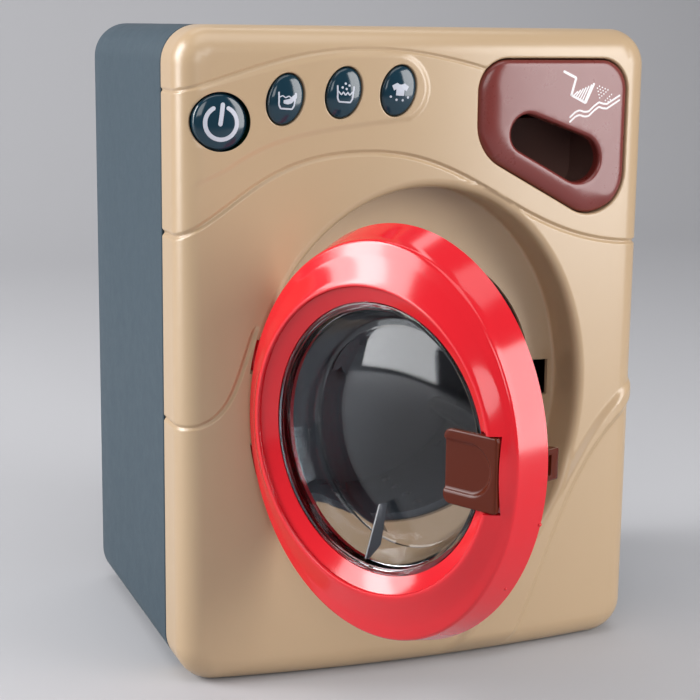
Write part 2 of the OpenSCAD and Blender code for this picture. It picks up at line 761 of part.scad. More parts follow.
module motor_pinion() color("ivory") {
    gear(pinion_x, pinion_z, pinion_teeth, pinion_dir + 180 + 180 / pinion_teeth,
         gear_y2 - 0.4, gear_y2 + gear_w + 0.2, 0.6);
    rod_y(pinion_x, pinion_z, 0.98, gear_y2 - 0.4, plate_y + plate_t);
}

module gear_plate() color("whitesmoke") {
    difference() {
        union() {
            front_prism(plate_y, plate_y + plate_t) {
                for (p = plate_spots) {
                    polygon(slot_path([0, door_z], 10, p, 4.4));
                    polygon(slot_path([idler_x, idler_z], 8, p, 4.4));
                }
                polygon(slot_path([idler_x, idler_z], 8, [pinion_x, pinion_z], motor_r + 3));
            }
            for (p = plate_spots) rod_y(p[0], p[1], arm_r, tub_back + 2 + seat, plate_y + 1);
        }
        rod_y(0, door_z, shaft_r + run, plate_y - 1, plate_y + plate_t + 1);
        rod_y(idler_x, idler_z, axle_r + 0.03, plate_y - 1, plate_y + plate_t + 1);
        rod_y(pinion_x, pinion_z, 3.2, plate_y - 1, plate_y + plate_t + 1);
        for (p = plate_spots) rod_y(p[0], p[1], 1.25, tub_back, plate_y + plate_t + 1);
        for (s = [-1, 1])
            rod_y(pinion_x + s * 11.2, pinion_z, 0.9, plate_y - 1, plate_y + plate_t + 1);
    }
}

module plate_screws() color("silver") {
    reach = plate_y + plate_t - tub_back;
    for (p = plate_spots) screw(p, plate_y + plate_t + eps, reach, 0.9, 2.4);
}

// Can motor with flattened sides, a nose and an end bell
module motor() color("silver") {
    y0 = plate_y + plate_t + seat;
    intersection() {
        rod_y(pinion_x, pinion_z, motor_r, y0, y0 + motor_len - 3);
        translate([pinion_x - 7.6, y0, pinion_z - motor_r]) cube([15.2, motor_len, 2 * motor_r]);
    }
    tube_y(pinion_x, pinion_z, 3.05, 1.03, y0 - 1.6, y0 + eps);
    intersection() {
        rod_y(pinion_x, pinion_z, motor_r - 0.8, y0 + motor_len - 3, y0 + motor_len);
        translate([pinion_x - 6.8, y0, pinion_z - motor_r]) cube([13.6, motor_len, 2 * motor_r]);
    }
    for (s = [-1, 1])
        translate([pinion_x - 1, y0 + motor_len - 3, pinion_z + s * 6 - 0.4]) cube([2, 5, 0.8]);
}

// Strap over the motor, screwed to the gear plate on both sides
module motor_clamp() color("gray") {
    y0 = plate_y + plate_t + seat;
    t = 1;
    difference() {
        union() {
            translate([pinion_x - 7.7 - t, y0, pinion_z - 4]) cube([15.4 + 2 * t, motor_len + 2.6, 8]);
            for (s = [-1, 1])
                translate([pinion_x + s * 11.2 - 3, y0, pinion_z - 4]) cube([6, t, 8]);
        }
        translate([pinion_x - 7.7, y0 - 1, pinion_z - 5]) cube([15.4, motor_len + 2.6, 10]);
        for (s = [-1, 1]) rod_y(pinion_x + s * 11.2, pinion_z, 1.2, y0 - 1, y0 + t + 1);
    }
    for (s = [-1, 1])
        screw([pinion_x + s * 11.2, pinion_z], y0 + t + eps, t + plate_t, 0.85, 1.9, 1.2);
}

// ---------- buttons and board ----------

switch_h = 3.4;
switch_tip = board_y - seat - switch_h;
flange_y = guide_y + seat;

module button_board() color("seagreen") {
    difference() {
        front_prism(board_y + seat, board_y + seat + board_t) difference() {
            translate(corner + [4, -39]) square([73, 23]);
            translate(corner + [4, -39]) square([8, 3]);
        }
        for (p = board_posts) rod_y(p[0], p[1], 1.3, board_y, board_y + 4);
    }
    // the tab that reaches the post above
    difference() {
        front_prism(board_y + seat, board_y + seat + board_t)
            translate(corner + [19.5, -16.1]) square([7, 6]);
        rod_y(board_posts[0][0], board_posts[0][1], 1.3, board_y, board_y + 4);
    }
    // coin-sized sound chip and a row of solder pins
    front_prism(board_y + seat + board_t - eps, board_y + seat + board_t + 1.4)
        translate(corner + [31, -26]) circle(5);
    for (i = [0:4])
        rod_y(corner[0] + 51 + i * 3, corner[1] - 36, 0.6, board_y + seat + board_t - eps,
              board_y + seat + board_t + 1.6);
}

module button_switches() color("black") {
    for (p = concat([power_spot], button_spots)) {
        translate([p[0] - 3, board_y - 2.2, p[1] - 3]) cube([6, 2.3, 6]);
        rod_y(p[0], p[1], 1.7, switch_tip, board_y - 2.2 + eps);
    }
}

module board_screws() color("silver") {
    for (p = board_posts) screw(p, board_y + seat + board_t + eps, 7, 0.85, 2.1, 1.4);
}

// Cap with a domed face, a flange behind the panel and a stem on the switch
module button_cap(spot, dome_r, rise) {
    face_y = panel_y(spot[0]) - rise;
    stem_end = switch_tip - travel - seat;
    difference() {
        intersection() {
            front_prism(face_y - 1, flange_y + 1.2) children(0);
            translate([spot[0], face_y + dome_r, spot[1]]) sphere(dome_r, $fn = 128);
        }
        rod_y(spot[0], spot[1], 3, front_y + 1, flange_y + 2);
    }
    front_prism(flange_y, flange_y + 1.2) children(1);
    rod_y(spot[0], spot[1], 1.6, front_y, stem_end);
}

module power_button() color("midnightblue") {
    button_cap(power_spot, 34, 1.2) {
        power_shape(0);
        power_shape(button_gap + flange_w);
    }
}

module mode_button(i) {
    button_cap(button_spots[i], 20, 1.9) {
        mode_shape(button_spots[i], 0);
        mode_shape(button_spots[i], button_gap + flange_w);
    }
}

module mode_button_1() color("midnightblue") mode_button(0);
module mode_button_2() color("midnightblue") mode_button(1);
module mode_button_3() color("midnightblue") mode_button(2);

// ---------- speaker ----------

module speaker() color("dimgray") {
    y0 = back_y - wall - 0.2;
    translate([spk[0], y0, spk[1]]) rotate([90, 0, 0]) rotate_extrude()
        polygon([[0, 2.4], [5, 2.2], [14, 1], [15.4, 0], [spk_r, 0], [spk_r, 1.4], [15.6, 1.6],
                 [9, 5], [9, 9], [0, 9]]);
}

module speaker_clamp() color("silver") {
    y1 = spk_ring_y - seat;
    difference() {
        union() {
            tube_y(spk[0], spk[1], spk_r + 1, spk_r - 3, y1 - 1, y1);
            tube_y(spk[0], spk[1], spk_r - 0.4, spk_r - 1.6, y1 - eps, back_y - wall - 1.7);
            for (s = [-1, 1]) translate([spk[0] + s * (spk_r + 3.6) - 4, y1 - 1, spk[1] - 3.5])
                cube([8, 1, 7]);
        }
        for (s = [-1, 1]) rod_y(spk[0] + s * (spk_r + 5), spk[1], 1.1, y1 - 2, y1 + 1);
    }
    for (s = [-1, 1]) mirror([0, 1, 0])
        screw([spk[0] + s * (spk_r + 5), spk[1]], 1 - y1 + eps, 4, 0.85, 1.9, 1.2);
}

// ---------- detergent drawer ----------

tray_gap = 2.4;
tray_t = 1.6;
tray_y0 = front_y + 0.5;
tray_y1 = tray_y0 + tray_len;
guide_end = tray_y1 + 3;
tray_rim = body_h - drawer_top - 8;

module drawer_guide() color("tan") {
    difference() {
        front_prism(seam_y - 4 + seat, guide_end) drawer_outline(side_gap + 1.8);
        front_prism(seam_y - 5, guide_end - 1.8) drawer_outline(side_gap);
    }
}

finger_left = [drawer_x1 - 37.7, body_h - 33.5];
finger_right = [drawer_x1 - 18.2, body_h - 42];
finger_r1 = 6.3;
finger_r2 = 7.8;

module drawer_front() color("brown") {
    proud = 0.5;
    tilt = atan((panel_y(drawer_x1) - panel_y(drawer_x0)) / (drawer_x1 - drawer_x0));
    difference() {
        intersection() {
            hull() for (step = [[0, 3.2], [0.5, 1.3], [2, 0.2]])
                translate([drawer_x0, panel_y(drawer_x0) - proud + step[1], 0]) rotate([0, 0, tilt])
                    translate([-drawer_x0, 0, 0])
                        front_prism(0, step[1] > 3 ? 8 : 0.1) drawer_outline(-step[0]);
            crown_cylinder(-proud);
            front_prism(tip_y - 2, tray_y0 - seat) drawer_outline(0);
        }
        front_prism(tip_y - 3, front_y + 6) polygon(slot_path(finger_left, finger_r1, finger_right, finger_r2));
    }
}

module drawer_tray() color("saddlebrown") {
    difference() {
        front_prism(tray_y0, tray_y1) drawer_outline(-tray_gap);
        difference() {
            front_prism(tray_y0 - 1, tray_y1 - tray_t) drawer_outline(-tray_gap - tray_t);
            // divider between wash and rinse, and its stiffening rib
            translate([drawer_x0, tray_y0 + tray_len * 0.55, drawer_pts[2][1]]) cube([60, 1.4, 38]);
        }
        translate([drawer_x0, tray_y0 - 1, tray_rim]) cube([60, tray_len + 2, 20]);
        front_prism(tray_y0 - 2, tray_y0) drawer_outline(0);
    }
}

// ---------- door ----------

ring_back = door_y + ring_depth + 1;
ring_t = 2;
ledge_t = 1.5;
clamp_spots = [for (x = [-1, 1], z = [-1, 1]) [x * 17, door_z + z * 49]];
clamp_y = door_y + ledge_t + window_t + 2 * seat;
clamp_t = 1.6;
plate_w = door_y - 4.9;
latch_z = door_z - 1.3;

// Ring's convex body, smaller by inset
module ring_form(inset) {
    $fn = 40;
    hull() {
        front_prism(ring_back - eps, ring_back) translate([0, door_z])
            oval(ring_a + ring_draft - inset, ring_b + ring_draft - inset);
        front_prism(door_y + 1, door_y + 1 + eps) translate([0, door_z])
            oval(ring_a + 0.4 - inset, ring_b + 0.4 - inset);
        front_prism(door_y - 0.2, door_y) translate([0, door_z])
            oval(ring_a - 0.4 - inset, ring_b - 0.4 - inset);
        front_prism(door_y + 1 - ring_rise + inset, door_y + 2 - ring_rise + inset)
            translate([0, door_z]) circle(lip_r + 2 - inset);
    }
}

module door_ring() color("crimson") door_pose() {
    difference() {
        union() {
            difference() {
                ring_form(0);
                // hollow behind, round the wall that holds the window
                difference() {
                    translate([0, eps, 0]) ring_form(ring_t);
                    rod_y(0, door_z, lip_r + ring_t, tip_y - 3, clamp_y - seat);
                    for (p = clamp_spots) rod_y(p[0], p[1], 2.8, tip_y, clamp_y - seat);
                }
                front_prism(door_y + ledge_t, ring_back + 1) translate([0, door_z]) circle(lip_r);
            }
            for (s = [-1, 1]) translate([-hinge_x, hinge_y, door_z + s * lug_z - lug_len / 2]) {
                cylinder(r = lug_r, h = lug_len);
                linear_extrude(lug_len) polygon(arm_pts);
            }
            // two ears that carry the latch pin, on a web from the ring's outer wall
            for (s = [-1, 1])
                translate([latch_x - 3, door_y + 1, latch_z + s * (hook_h / 2 + 2.9) - 1.2])
                    cube([6, 6, 2.4]);
        }
        // sloping aperture
        translate([0, door_y, door_z]) rotate([90, 0, 0]) cylinder(r1 = window_r, r2 = lip_r, h = ring_rise - 0.9);
        translate([0, door_y - ring_rise + 0.9 + eps, door_z]) rotate([90, 0, 0])
            cylinder(r = lip_r, h = 5);
        rod_y(0, door_z, window_r, door_y - 1, door_y + 3);
        // notch and pocket for the latch
        translate([latch_x - 9, tip_y - 5, latch_z - latch_h / 2 - 0.4])
            cube([11, door_y + 1.4 - tip_y + 5, latch_h + 0.8]);
        translate([latch_x - 4, tip_y - 5, latch_z - hook_h / 2 - 0.35])
            cube([7.2, far / 4, hook_h + 0.7]);
        for (s = [-1, 1])
            translate([-hinge_x, hinge_y, door_z + s * lug_z - lug_len]) cylinder(r = hinge_r + run, h = 2 * lug_len);
        translate([latch_x, door_y + 4, latch_z - 12]) cylinder(r = 1.03, h = 24);
        for (p = clamp_spots) rod_y(p[0], p[1], 0.9, door_y + 1, ring_back);
    }
}

module window() color("lightgray", 0.4) door_pose() {
    rim = 2;
    floor_r = window_r - rim - 6;
    seat_y = door_y + ledge_t + seat;
    translate([0, seat_y, door_z]) rotate([-90, 0, 0]) rotate_extrude($fn = 96)
        polygon([[window_r - 0.3, -ledge_t - seat], [window_r - 0.3, 0], [lip_r - 0.2, 0],
                 [lip_r - 0.2, window_t], [window_r - rim - 0.4, window_t],
                 [floor_r, dish_depth + window_t - 1.2], [floor_r - 2, dish_depth + window_t],
                 [0, dish_depth + window_t + 1.6], [0, dish_depth + 1.6],
                 [floor_r - 2, dish_depth], [floor_r - 0.8, dish_depth - 1],
                 [window_r - rim, -ledge_t + 0.6], [window_r - rim + 0.2, -ledge_t - seat]]);
    // upright fin that bridges the dish below its middle
    intersection() {
        translate([-5.6, door_y + 0.5, door_z - window_r + 2.4]) cube([1.4, dish_depth + 1.2, 16]);
        translate([0, seat_y, door_z]) rotate([-90, 0, 0]) rotate_extrude($fn = 96)
            polygon([[0, -ledge_t + 0.6], [window_r - rim + 0.2, -ledge_t + 0.6],
                     [floor_r - 0.4, dish_depth - 0.2], [floor_r - 2, dish_depth + 0.4],
                     [0, dish_depth + 2]]);
    }
}

module window_clamp() color("firebrick") door_pose() {
    difference() {
        union() {
            tube_y(0, door_z, lip_r + ring_t, window_r - 1.6, clamp_y, clamp_y + clamp_t);
            for (p = clamp_spots) {
                dir = atan2(p[1] - door_z, p[0]);
                front_prism(clamp_y, clamp_y + clamp_t) translate([0, door_z]) rotate(dir)
                    translate([window_r, -3.4]) square([norm([p[0], p[1] - door_z]) - window_r, 6.8]);
                rod_y(p[0], p[1], 4, clamp_y, clamp_y + clamp_t);
            }
        }
        rod_y(0, door_z, window_r - 1.6, clamp_y - 1, clamp_y + clamp_t + 1);
        for (p = clamp_spots) rod_y(p[0], p[1], 1.2, clamp_y - 1, clamp_y + clamp_t + 1);
        translate([latch_x - 12, clamp_y - 1, latch_z - latch_h / 2 - 1]) cube([12, 6, latch_h + 2]);
    }
}

module clamp_screws() color("silver") door_pose() {
    for (p = clamp_spots) screw(p, clamp_y + clamp_t + eps, 3.4, 0.85, 2.1, 1.3);
}

module latch_pin() color("silver") door_pose() {
    translate([latch_x, door_y + 4, latch_z - hook_h / 2 - 4.5]) cylinder(r = 1, h = hook_h + 9);
}

// ---------- latch ----------

hook_tip = floor_y + floor_t + 2;
pad_r = 3;

module latch_lever() color("sienna") door_pose() {
    left = latch_x + 1.6 - latch_len;
    difference() {
        union() {
            // plate with rounded free corners
            front_prism(plate_w, plate_w + latch_t) {
                translate([left + pad_r, latch_z - latch_h / 2]) square([latch_len - pad_r, latch_h]);
                translate([left, latch_z - latch_h / 2 + pad_r]) square([latch_len, latch_h - 2 * pad_r]);
                for (s = [-1, 1])
                    translate([left + pad_r, latch_z + s * (latch_h / 2 - pad_r)]) circle(pad_r);
            }
            // arm through the ring, with the barrel round the pin
            translate([latch_x - 1.8, plate_w + latch_t - eps, latch_z - hook_h / 2])
                cube([3.4, door_y + 4 - plate_w - latch_t, hook_h]);
            translate([latch_x, door_y + 4, latch_z - hook_h / 2]) cylinder(r = 2.4, h = hook_h);
            translate([latch_x, door_y + 4, latch_z - hook_h / 2])
                cube([1.8, hook_tip - door_y - 4, hook_h]);
            // hook, bevelled so that it rides over the slot's edge
            translate([0, 0, latch_z - hook_h / 2]) linear_extrude(hook_h)
                polygon([[latch_x + 0.2, floor_y + floor_t + 0.3], [latch_x - 3.4, floor_y + floor_t + 0.3],
                         [latch_x - 3.4, floor_y + floor_t + 0.7], [latch_x + 0.2, hook_tip]]);
        }
        translate([latch_x, door_y + 4, latch_z - hook_h]) cylinder(r = 1 + run, h = 2 * hook_h);
        // round thumb dimple open to the free edge
        front_prism(plate_w - 1, plate_w + 0.7) {
            translate([left + 8.2, latch_z]) circle(7.6);
            translate([left - 1, latch_z - 7.6]) square([9.2, 15.2]);
        }
    }
}

// Torsion spring beside the hook's arm
module latch_spring() color("silver") door_pose() {
    for (i = [0:2])
        translate([latch_x, door_y + 4, latch_z + hook_h / 2 + 0.45 + i * 0.32]) rotate_extrude()
            translate([1.5, 0]) circle(0.17, $fn = 16);
}

module hinge_pin() color("silver") {
    translate([-hinge_x, hinge_y, door_z - pin_half]) cylinder(r = hinge_r, h = 2 * pin_half);
}

front_shell();
rear_shell();
battery_cover();
cover_screw();
cells();
battery_contacts();
casing_screws();
tub();
tub_screws();
drum_bush();
gear_plate();
plate_screws();
idler_axle();
motor();
motor_clamp();
button_board();
button_switches();
board_screws();
speaker();
speaker_clamp();
drawer_guide();
hinge_pin();
door_ring();
window();
window_clamp();
clamp_screws();
latch_pin();
latch_lever();
latch_spring();
power_button();
mode_button_1();
mode_button_2();
mode_button_3();
drawer_front();
drawer_tray();
drum();
drum_shaft();
drum_gear();
idler_gear();
motor_pinion();
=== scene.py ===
"""Looks of a toy washing machine: smooth mouldings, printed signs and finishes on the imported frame.

Lengths are written in millimetres and become metres when a mesh is made.
The front faces -Y, +Z is up, and the origin is the middle of the base.
"""

import math
from collections import namedtuple
from contextlib import contextmanager

import bmesh
import bpy
import numpy as np
from mathutils import Matrix, Vector
from mathutils.geometry import delaunay_2d_cdt, tessellate_polygon


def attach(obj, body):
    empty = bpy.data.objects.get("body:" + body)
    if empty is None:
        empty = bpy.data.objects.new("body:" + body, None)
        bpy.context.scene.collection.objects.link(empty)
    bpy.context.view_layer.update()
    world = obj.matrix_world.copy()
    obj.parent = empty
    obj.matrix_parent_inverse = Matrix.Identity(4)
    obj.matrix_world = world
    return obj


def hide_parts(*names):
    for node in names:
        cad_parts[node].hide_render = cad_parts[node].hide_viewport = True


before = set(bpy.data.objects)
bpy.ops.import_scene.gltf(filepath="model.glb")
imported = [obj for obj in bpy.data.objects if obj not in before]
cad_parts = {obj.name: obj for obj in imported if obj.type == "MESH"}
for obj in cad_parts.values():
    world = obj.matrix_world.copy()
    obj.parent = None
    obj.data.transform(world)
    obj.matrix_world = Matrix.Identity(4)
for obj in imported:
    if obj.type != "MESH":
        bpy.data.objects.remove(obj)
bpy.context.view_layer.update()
MM = 0.001


# ---------- sizes and places, in millimetres ----------

def read(items, label, width=3, kind=float):
    """A value of every vertex, corner or face of a mesh, as rows of an array."""
    out = np.empty(len(items) * width, kind)
    items.foreach_get(label, out)
    return out.reshape(-1, width) if width > 1 else out


def box(node):
    """Low and high corner of one of the frame's solids, to a hundredth."""
    at = read(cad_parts[node].data.vertices, "co") / MM
    return [[round(float(v), 2) for v in corner] for corner in (at.min(0), at.max(0))]


def middle(node):
    """Middle of one of the frame's solids, to a tenth."""
    return tuple(round((low + high) / 2, 1) for low, high in zip(*box(node)))


# cabinet
CASE_LOW, CASE_HIGH = box("rear_shell")
BODY_W = CASE_HIGH[0] - CASE_LOW[0]
BODY_H = CASE_HIGH[2]
BACK_Y = CASE_HIGH[1]
FRONT_Y = -60.0                         # front at the sides, behind the crown
SEAM_Y = -40.0                          # back of the front panel
SEAM, SEAM_WIDER = 0.6, 0.8             # gap between the two mouldings, and how much wider it shows
CORNER_R = 12.0                         # corners in the front view
EDGE_R = 9.0                            # front edges
BACK_R = 4.0                            # back edges
WALL, PANEL_T = 2.4, 1.8                # walls of the rear housing and the front panel
CROWN = 6.5                             # rise of the face at its middle
CROWN_R = ((BODY_W / 2) ** 2 + CROWN ** 2) / (2 * CROWN)
CROWN_Y = FRONT_Y - CROWN + CROWN_R

# recess of the door
DOOR_Z = middle("door_ring")[2]
RECESS_A, RECESS_B = 56.5, 68.5         # half axes
LIP_R = 3.2                             # rounded lip
FLOOR_Y, FLOOR_T = -46.5, 1.8
MOUTH_R = 47.0                          # round mouth of the drum
SLOT = (46.4, 85.25, 53.8, 97.75)       # slot of the latch: left, low, right, high

# door, in its closed pose
DOOR_Y = -64.0                          # front of the ring's rim
HINGE = middle("hinge_pin")[:2]         # place of the pin in the top view
DOOR_OPEN = math.radians(64)            # how far the rest pose is open
ARM_Z, ARM_H = 17.0, 5.0                # hinge arms: distance from the door's middle, half height
RING_A, RING_B = 52.0, 59.4             # half axes at the ring's shoulder
RING_DRAFT = 3.2                        # how much wider its back is
RING_DEPTH = 9.0
RING_RISE = 5.0                         # rise of the face to its inner lip
RING_LIP_R = 45.0
RING_WIDER, RING_DROP = 2.0, 0.9        # the shoulder reaches to the hinge and sags by this
WINDOW_R = 40.6
LATCH_X, LATCH_Z = 48.6, middle("latch_pin")[2]

# buttons
POWER, POWER_R = middle("power_button")[::2], 8.6
MODES = [middle("mode_button_%d" % (i + 1))[::2] for i in range(3)]
MODE_A, MODE_B, MODE_TILT = 5.5, 7.9, 16
BUTTON_GAP = 0.3

# drawer
DRAWER_X = (box("drawer_front")[0][0], 71.7)
DRAWER_TOP = box("drawer_front")[1][2]
DRAWER_LEFT, DRAWER_RIGHT = 170.9, 141.4    # heights of the sloping lower edge's ends
DRAWER_RS = (10, 10, 13.2, 15)              # corners: top left, top right, low right, low left
DRAWER_GAP = 0.5


# ---------- curves ----------

def bezier(points, n=40):
    """Points of a cubic curve."""
    a, b, c, d = (np.array(p, float) for p in points)
    return [tuple(a * (1 - t) ** 3 + b * 3 * t * (1 - t) ** 2 + c * 3 * t * t * (1 - t) + d * t ** 3)
            for t in np.linspace(0, 1, n)]


def arc(centre, r, start, end, n):
    """Points of a circular arc between two angles in degrees."""
    return [(centre[0] + r * math.cos(a), centre[1] + r * math.sin(a))
            for a in np.radians(np.linspace(start, end, n))]


def ellipse(a, b, n, centre=(0, 0), tilt=0.0):
    """Closed loop of an ellipse, leaning clockwise by tilt degrees."""
    c, s = math.cos(-math.radians(tilt)), math.sin(-math.radians(tilt))
    return [(centre[0] + a * math.cos(t) * c - b * math.sin(t) * s,
             centre[1] + a * math.cos(t) * s + b * math.sin(t) * c)
            for t in np.linspace(0, 2 * math.pi, n, endpoint=False)]


def resample(points, step, closed=True):
    """The same line with even spacing."""
    pts = np.array(list(points) + ([points[0]] if closed else []), float)
    run = np.concatenate([[0], np.cumsum(np.linalg.norm(np.diff(pts, axis=0), axis=1))])
    n = max(int(round(run[-1] / step)), 3)
    at = np.linspace(0, run[-1], n + 1)
    out = np.stack([np.interp(at, run, pts[:, k]) for k in range(pts.shape[1])], 1)
    return [tuple(p) for p in (out[:-1] if closed else out)]


def rounded_polygon(corners, radii, n=12):
    """Closed loop of a convex polygon with rounded corners."""
    out = []
    count = len(corners)
    for i in range(count):
        a, b, c = (Vector(corners[(i + k - 1) % count]) for k in range(3))
        u, v = (a - b).normalized(), (c - b).normalized()
        half = u.angle(v) / 2
        reach = radii[i] / math.tan(half)
        centre = b + (u + v).normalized() * radii[i] / math.sin(half)
        p, q = b + u * reach - centre, b + v * reach - centre
        sweep = p.angle_signed(q)
        for t in np.linspace(0, -sweep, n):
            out.append(tuple(centre + Matrix.Rotation(t, 2) @ p))
    return out


def rounded_rect(w, h, r, centre=(0, 0), n=12):
    """Closed loop of a rectangle with rounded corners."""
    x, y = w / 2, h / 2
    return rounded_polygon([(centre[0] + s * x, centre[1] + t * y)
                            for s, t in ((-1, -1), (1, -1), (1, 1), (-1, 1))], [r] * 4, n)


def drawer_outline(grow):
    """Outline of the drawer front, larger by grow."""
    x0, x1 = DRAWER_X
    slope = math.atan2(DRAWER_RIGHT - DRAWER_LEFT, x1 - x0)
    lift, lean = 1 / math.cos(slope), math.tan(slope)
    corners = [(x0 - grow, DRAWER_TOP + grow), (x1 + grow, DRAWER_TOP + grow),
               (x1 + grow, DRAWER_RIGHT - grow * (lift - lean)),
               (x0 - grow, DRAWER_LEFT - grow * (lift + lean))]
    return rounded_polygon(corners[::-1], [max(r + grow, 1) for r in DRAWER_RS[::-1]], 16)


def distance(points, line, closed=False):
    """Distance of many points from a polyline."""
    p = np.asarray(points, float)
    q = np.asarray(line if not closed else list(line) + [line[0]], float)
    a, d = q[:-1], np.diff(q, axis=0)
    best = np.full(len(p), 1e9)
    length = np.maximum((d * d).sum(1), 1e-12)
    for i in range(len(a)):
        t = np.clip(((p - a[i]) @ d[i]) / length[i], 0, 1)
        best = np.minimum(best, np.linalg.norm(p - a[i] - t[:, None] * d[i], axis=1))
    return best


def inside(points, loop):
    """Which points lie inside a closed loop."""
    p, q = np.asarray(points, float), np.asarray(loop, float)
    hit = np.zeros(len(p), bool)
    j = len(q) - 1
    for i in range(len(q)):
        cross = (q[i, 1] > p[:, 1]) != (q[j, 1] > p[:, 1])
        rise = q[j, 1] - q[i, 1]
        x = (q[j, 0] - q[i, 0]) * (p[:, 1] - q[i, 1]) / (rise if rise else 1e-12) + q[i, 0]
        hit ^= cross & (p[:, 0] < x)
        j = i
    return hit


def smooth(t):
    """Soft step from 0 to 1."""
    t = np.clip(t, 0, 1)
    return t * t * (3 - 2 * t)


def at_depth(loop, y):
    """A loop of the front view (x, z) at a depth, or with a depth for every point."""
    return [(x, depth, z) for (x, z), depth in zip(loop, np.broadcast_to(y, len(loop)))]


def even_grid(x0, x1, z0, z1, step):
    """Places of the front view in even rows."""
    return np.array([(x, z) for x in np.arange(x0, x1, step) for z in np.arange(z0, z1, step)])


def normals(line, closed=False):
    """Directions to the left of a line at its points."""
    p = np.array(line)
    t = np.roll(p, -1, axis=0) - np.roll(p, 1, axis=0) if closed else np.gradient(p, axis=0)
    t /= np.linalg.norm(t, axis=1)[:, None]
    return np.stack([-t[:, 1], t[:, 0]], 1)


def kept_parts(line, keep):
    """Stretches of a line whose points are kept by keep(points)."""
    line = np.array(line)
    good = keep(line)
    cuts = np.flatnonzero(np.diff(good.astype(int))) + 1
    return [part for part, flag in zip(np.split(line, cuts), np.split(good, cuts))
            if flag[0] and len(part) > 1]


def triangulate(points, loops, keep, paths=()):
    """Triangles over points, closed loops and open paths, kept where keep(centres) says so."""
    verts = [Vector(p) for p in points]
    edges = []
    for path in paths:
        start = len(verts)
        verts += [Vector(p) for p in path]
        edges += [(start + i, start + i + 1) for i in range(len(path) - 1)]
    for loop in loops:
        start = len(verts)
        verts += [Vector(p) for p in loop]
        edges += [(start + i, start + (i + 1) % len(loop)) for i in range(len(loop))]
    flat, _, faces, *_ = delaunay_2d_cdt(verts, edges, [], 0, 1e-4)
    flat = np.array([tuple(v) for v in flat])
    faces = np.array([tuple(f) for f in faces])
    ok = keep(flat[faces].mean(1))
    return flat, [tuple(int(i) for i in f) for f in faces[ok]]


def without(outer, holes):
    """A test for points inside one loop and outside others."""
    def keep(p):
        ok = inside(p, outer)
        for hole in holes:
            ok &= ~inside(p, hole)
        return ok
    return keep


# ---------- meshes ----------

def new_object(name, verts, faces):
    """An object of the scene, from a mesh in millimetres."""
    mesh = bpy.data.meshes.new(name)
    mesh.from_pydata([tuple(c * MM for c in v) for v in verts], [], faces)
    thing = bpy.data.objects.new(name, mesh)
    bpy.context.scene.collection.objects.link(thing)
    return thing


@contextmanager
def editing(piece):
    """The mesh of a piece, open for changes."""
    bm = bmesh.new()
    bm.from_mesh(piece.data)
    yield bm
    bm.to_mesh(piece.data)
    bm.free()


def shade(piece, flat):
    """Smooth shading that keeps edges sharper than the angle."""
    mesh = piece.data
    mesh.polygons.foreach_set("use_smooth", [True] * len(mesh.polygons))
    mesh.set_sharp_from_angle(angle=math.radians(flat))


def finish_modifiers(piece):
    """Turns the modifiers of a piece into its plain mesh."""
    depsgraph = bpy.context.evaluated_depsgraph_get()
    mesh = bpy.data.meshes.new_from_object(piece.evaluated_get(depsgraph))
    piece.modifiers.clear()
    old, piece.data = piece.data, mesh
    bpy.data.meshes.remove(old)


def thicken(piece, thickness):
    """Gives a sheet a thickness behind its faces."""
    wall = piece.modifiers.new("wall", "SOLIDIFY")
    wall.thickness = thickness * MM
    wall.offset = -1
    finish_modifiers(piece)


def bands(loops, close=True):
    """Vertices and faces of a skin through loops of equal length."""
    n = len(loops[0])
    verts = [p for loop in loops for p in loop]
    faces = []
    for k in range(len(loops) - 1):
        for i in range(n if close else n - 1):
            j = (i + 1) % n
            faces.append((k * n + i, k * n + j, (k + 1) * n + j, (k + 1) * n + i))
    return verts, faces


class Mesh:
    """Collects vertices and faces of one piece."""

    def __init__(self):
        self.verts, self.faces = [], []

    def add(self, verts, faces):
        start = len(self.verts)
        self.verts += [tuple(v) for v in verts]
        self.faces += [tuple(start + i for i in f) for f in faces]
        return start

    def skin(self, loops, close=True):
        return self.add(*bands(loops, close))

    def cap(self, loop):
        """Closes a flat loop."""
        start = self.add(loop, [])
        tris = tessellate_polygon([[Vector(p) for p in loop]])
        self.faces += [tuple(start + i for i in t) for t in tris]

    def prism(self, low, high):
        """A solid between two equal flat loops."""
        self.skin([low, high])
        self.cap(low)
        self.cap(high)

    def wall(self, loop, y0, y1, closed=False):
        """A wall along a loop of the front view between two depths, closed at the second or open."""
        self.skin([at_depth(loop, y0), at_depth(loop, y1)])
        if closed:
            self.cap(at_depth(loop, y1))

    def sheet(self, y, outer, holes):
        """A flat sheet at a depth, inside one loop and outside others."""
        flat, faces = triangulate([], [outer] + holes, without(outer, holes))
        self.add(at_depth(flat, y), faces)

    def make(self, name, body, finish, flat=30, weld=True, outward=True, at=None):
        """The finished piece: welded, faces outward, smooth under an angle, riding on its body."""
        piece = new_object(name, self.verts, self.faces)
        with editing(piece) as bm:
            if weld:
                bmesh.ops.remove_doubles(bm, verts=bm.verts, dist=0.004 * MM)
            if outward:
                bmesh.ops.recalc_face_normals(bm, faces=bm.faces)
            if at is not None:
                bmesh.ops.transform(bm, matrix=at, verts=bm.verts)
        piece.data.materials.append(finish)
        shade(piece, flat)
        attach(piece, body)
        return piece


# ---------- the front panel's face ----------

def crown(x):
    """Depth of the bulging face."""
    return CROWN_Y - np.sqrt(CROWN_R ** 2 - np.square(x))


# the flat part of the face, inside the rounded edges: half width, heights and corners
CORE_X, CORE_Z = BODY_W / 2 - EDGE_R, (EDGE_R, BODY_H - EDGE_R)
CORE_R = CORNER_R - EDGE_R
SIDE_START = 72.65          # the crown ends here, and the side edge keeps its depth
FACE_ANGLE = 58             # the face's triangles reach this far round the edge, in degrees


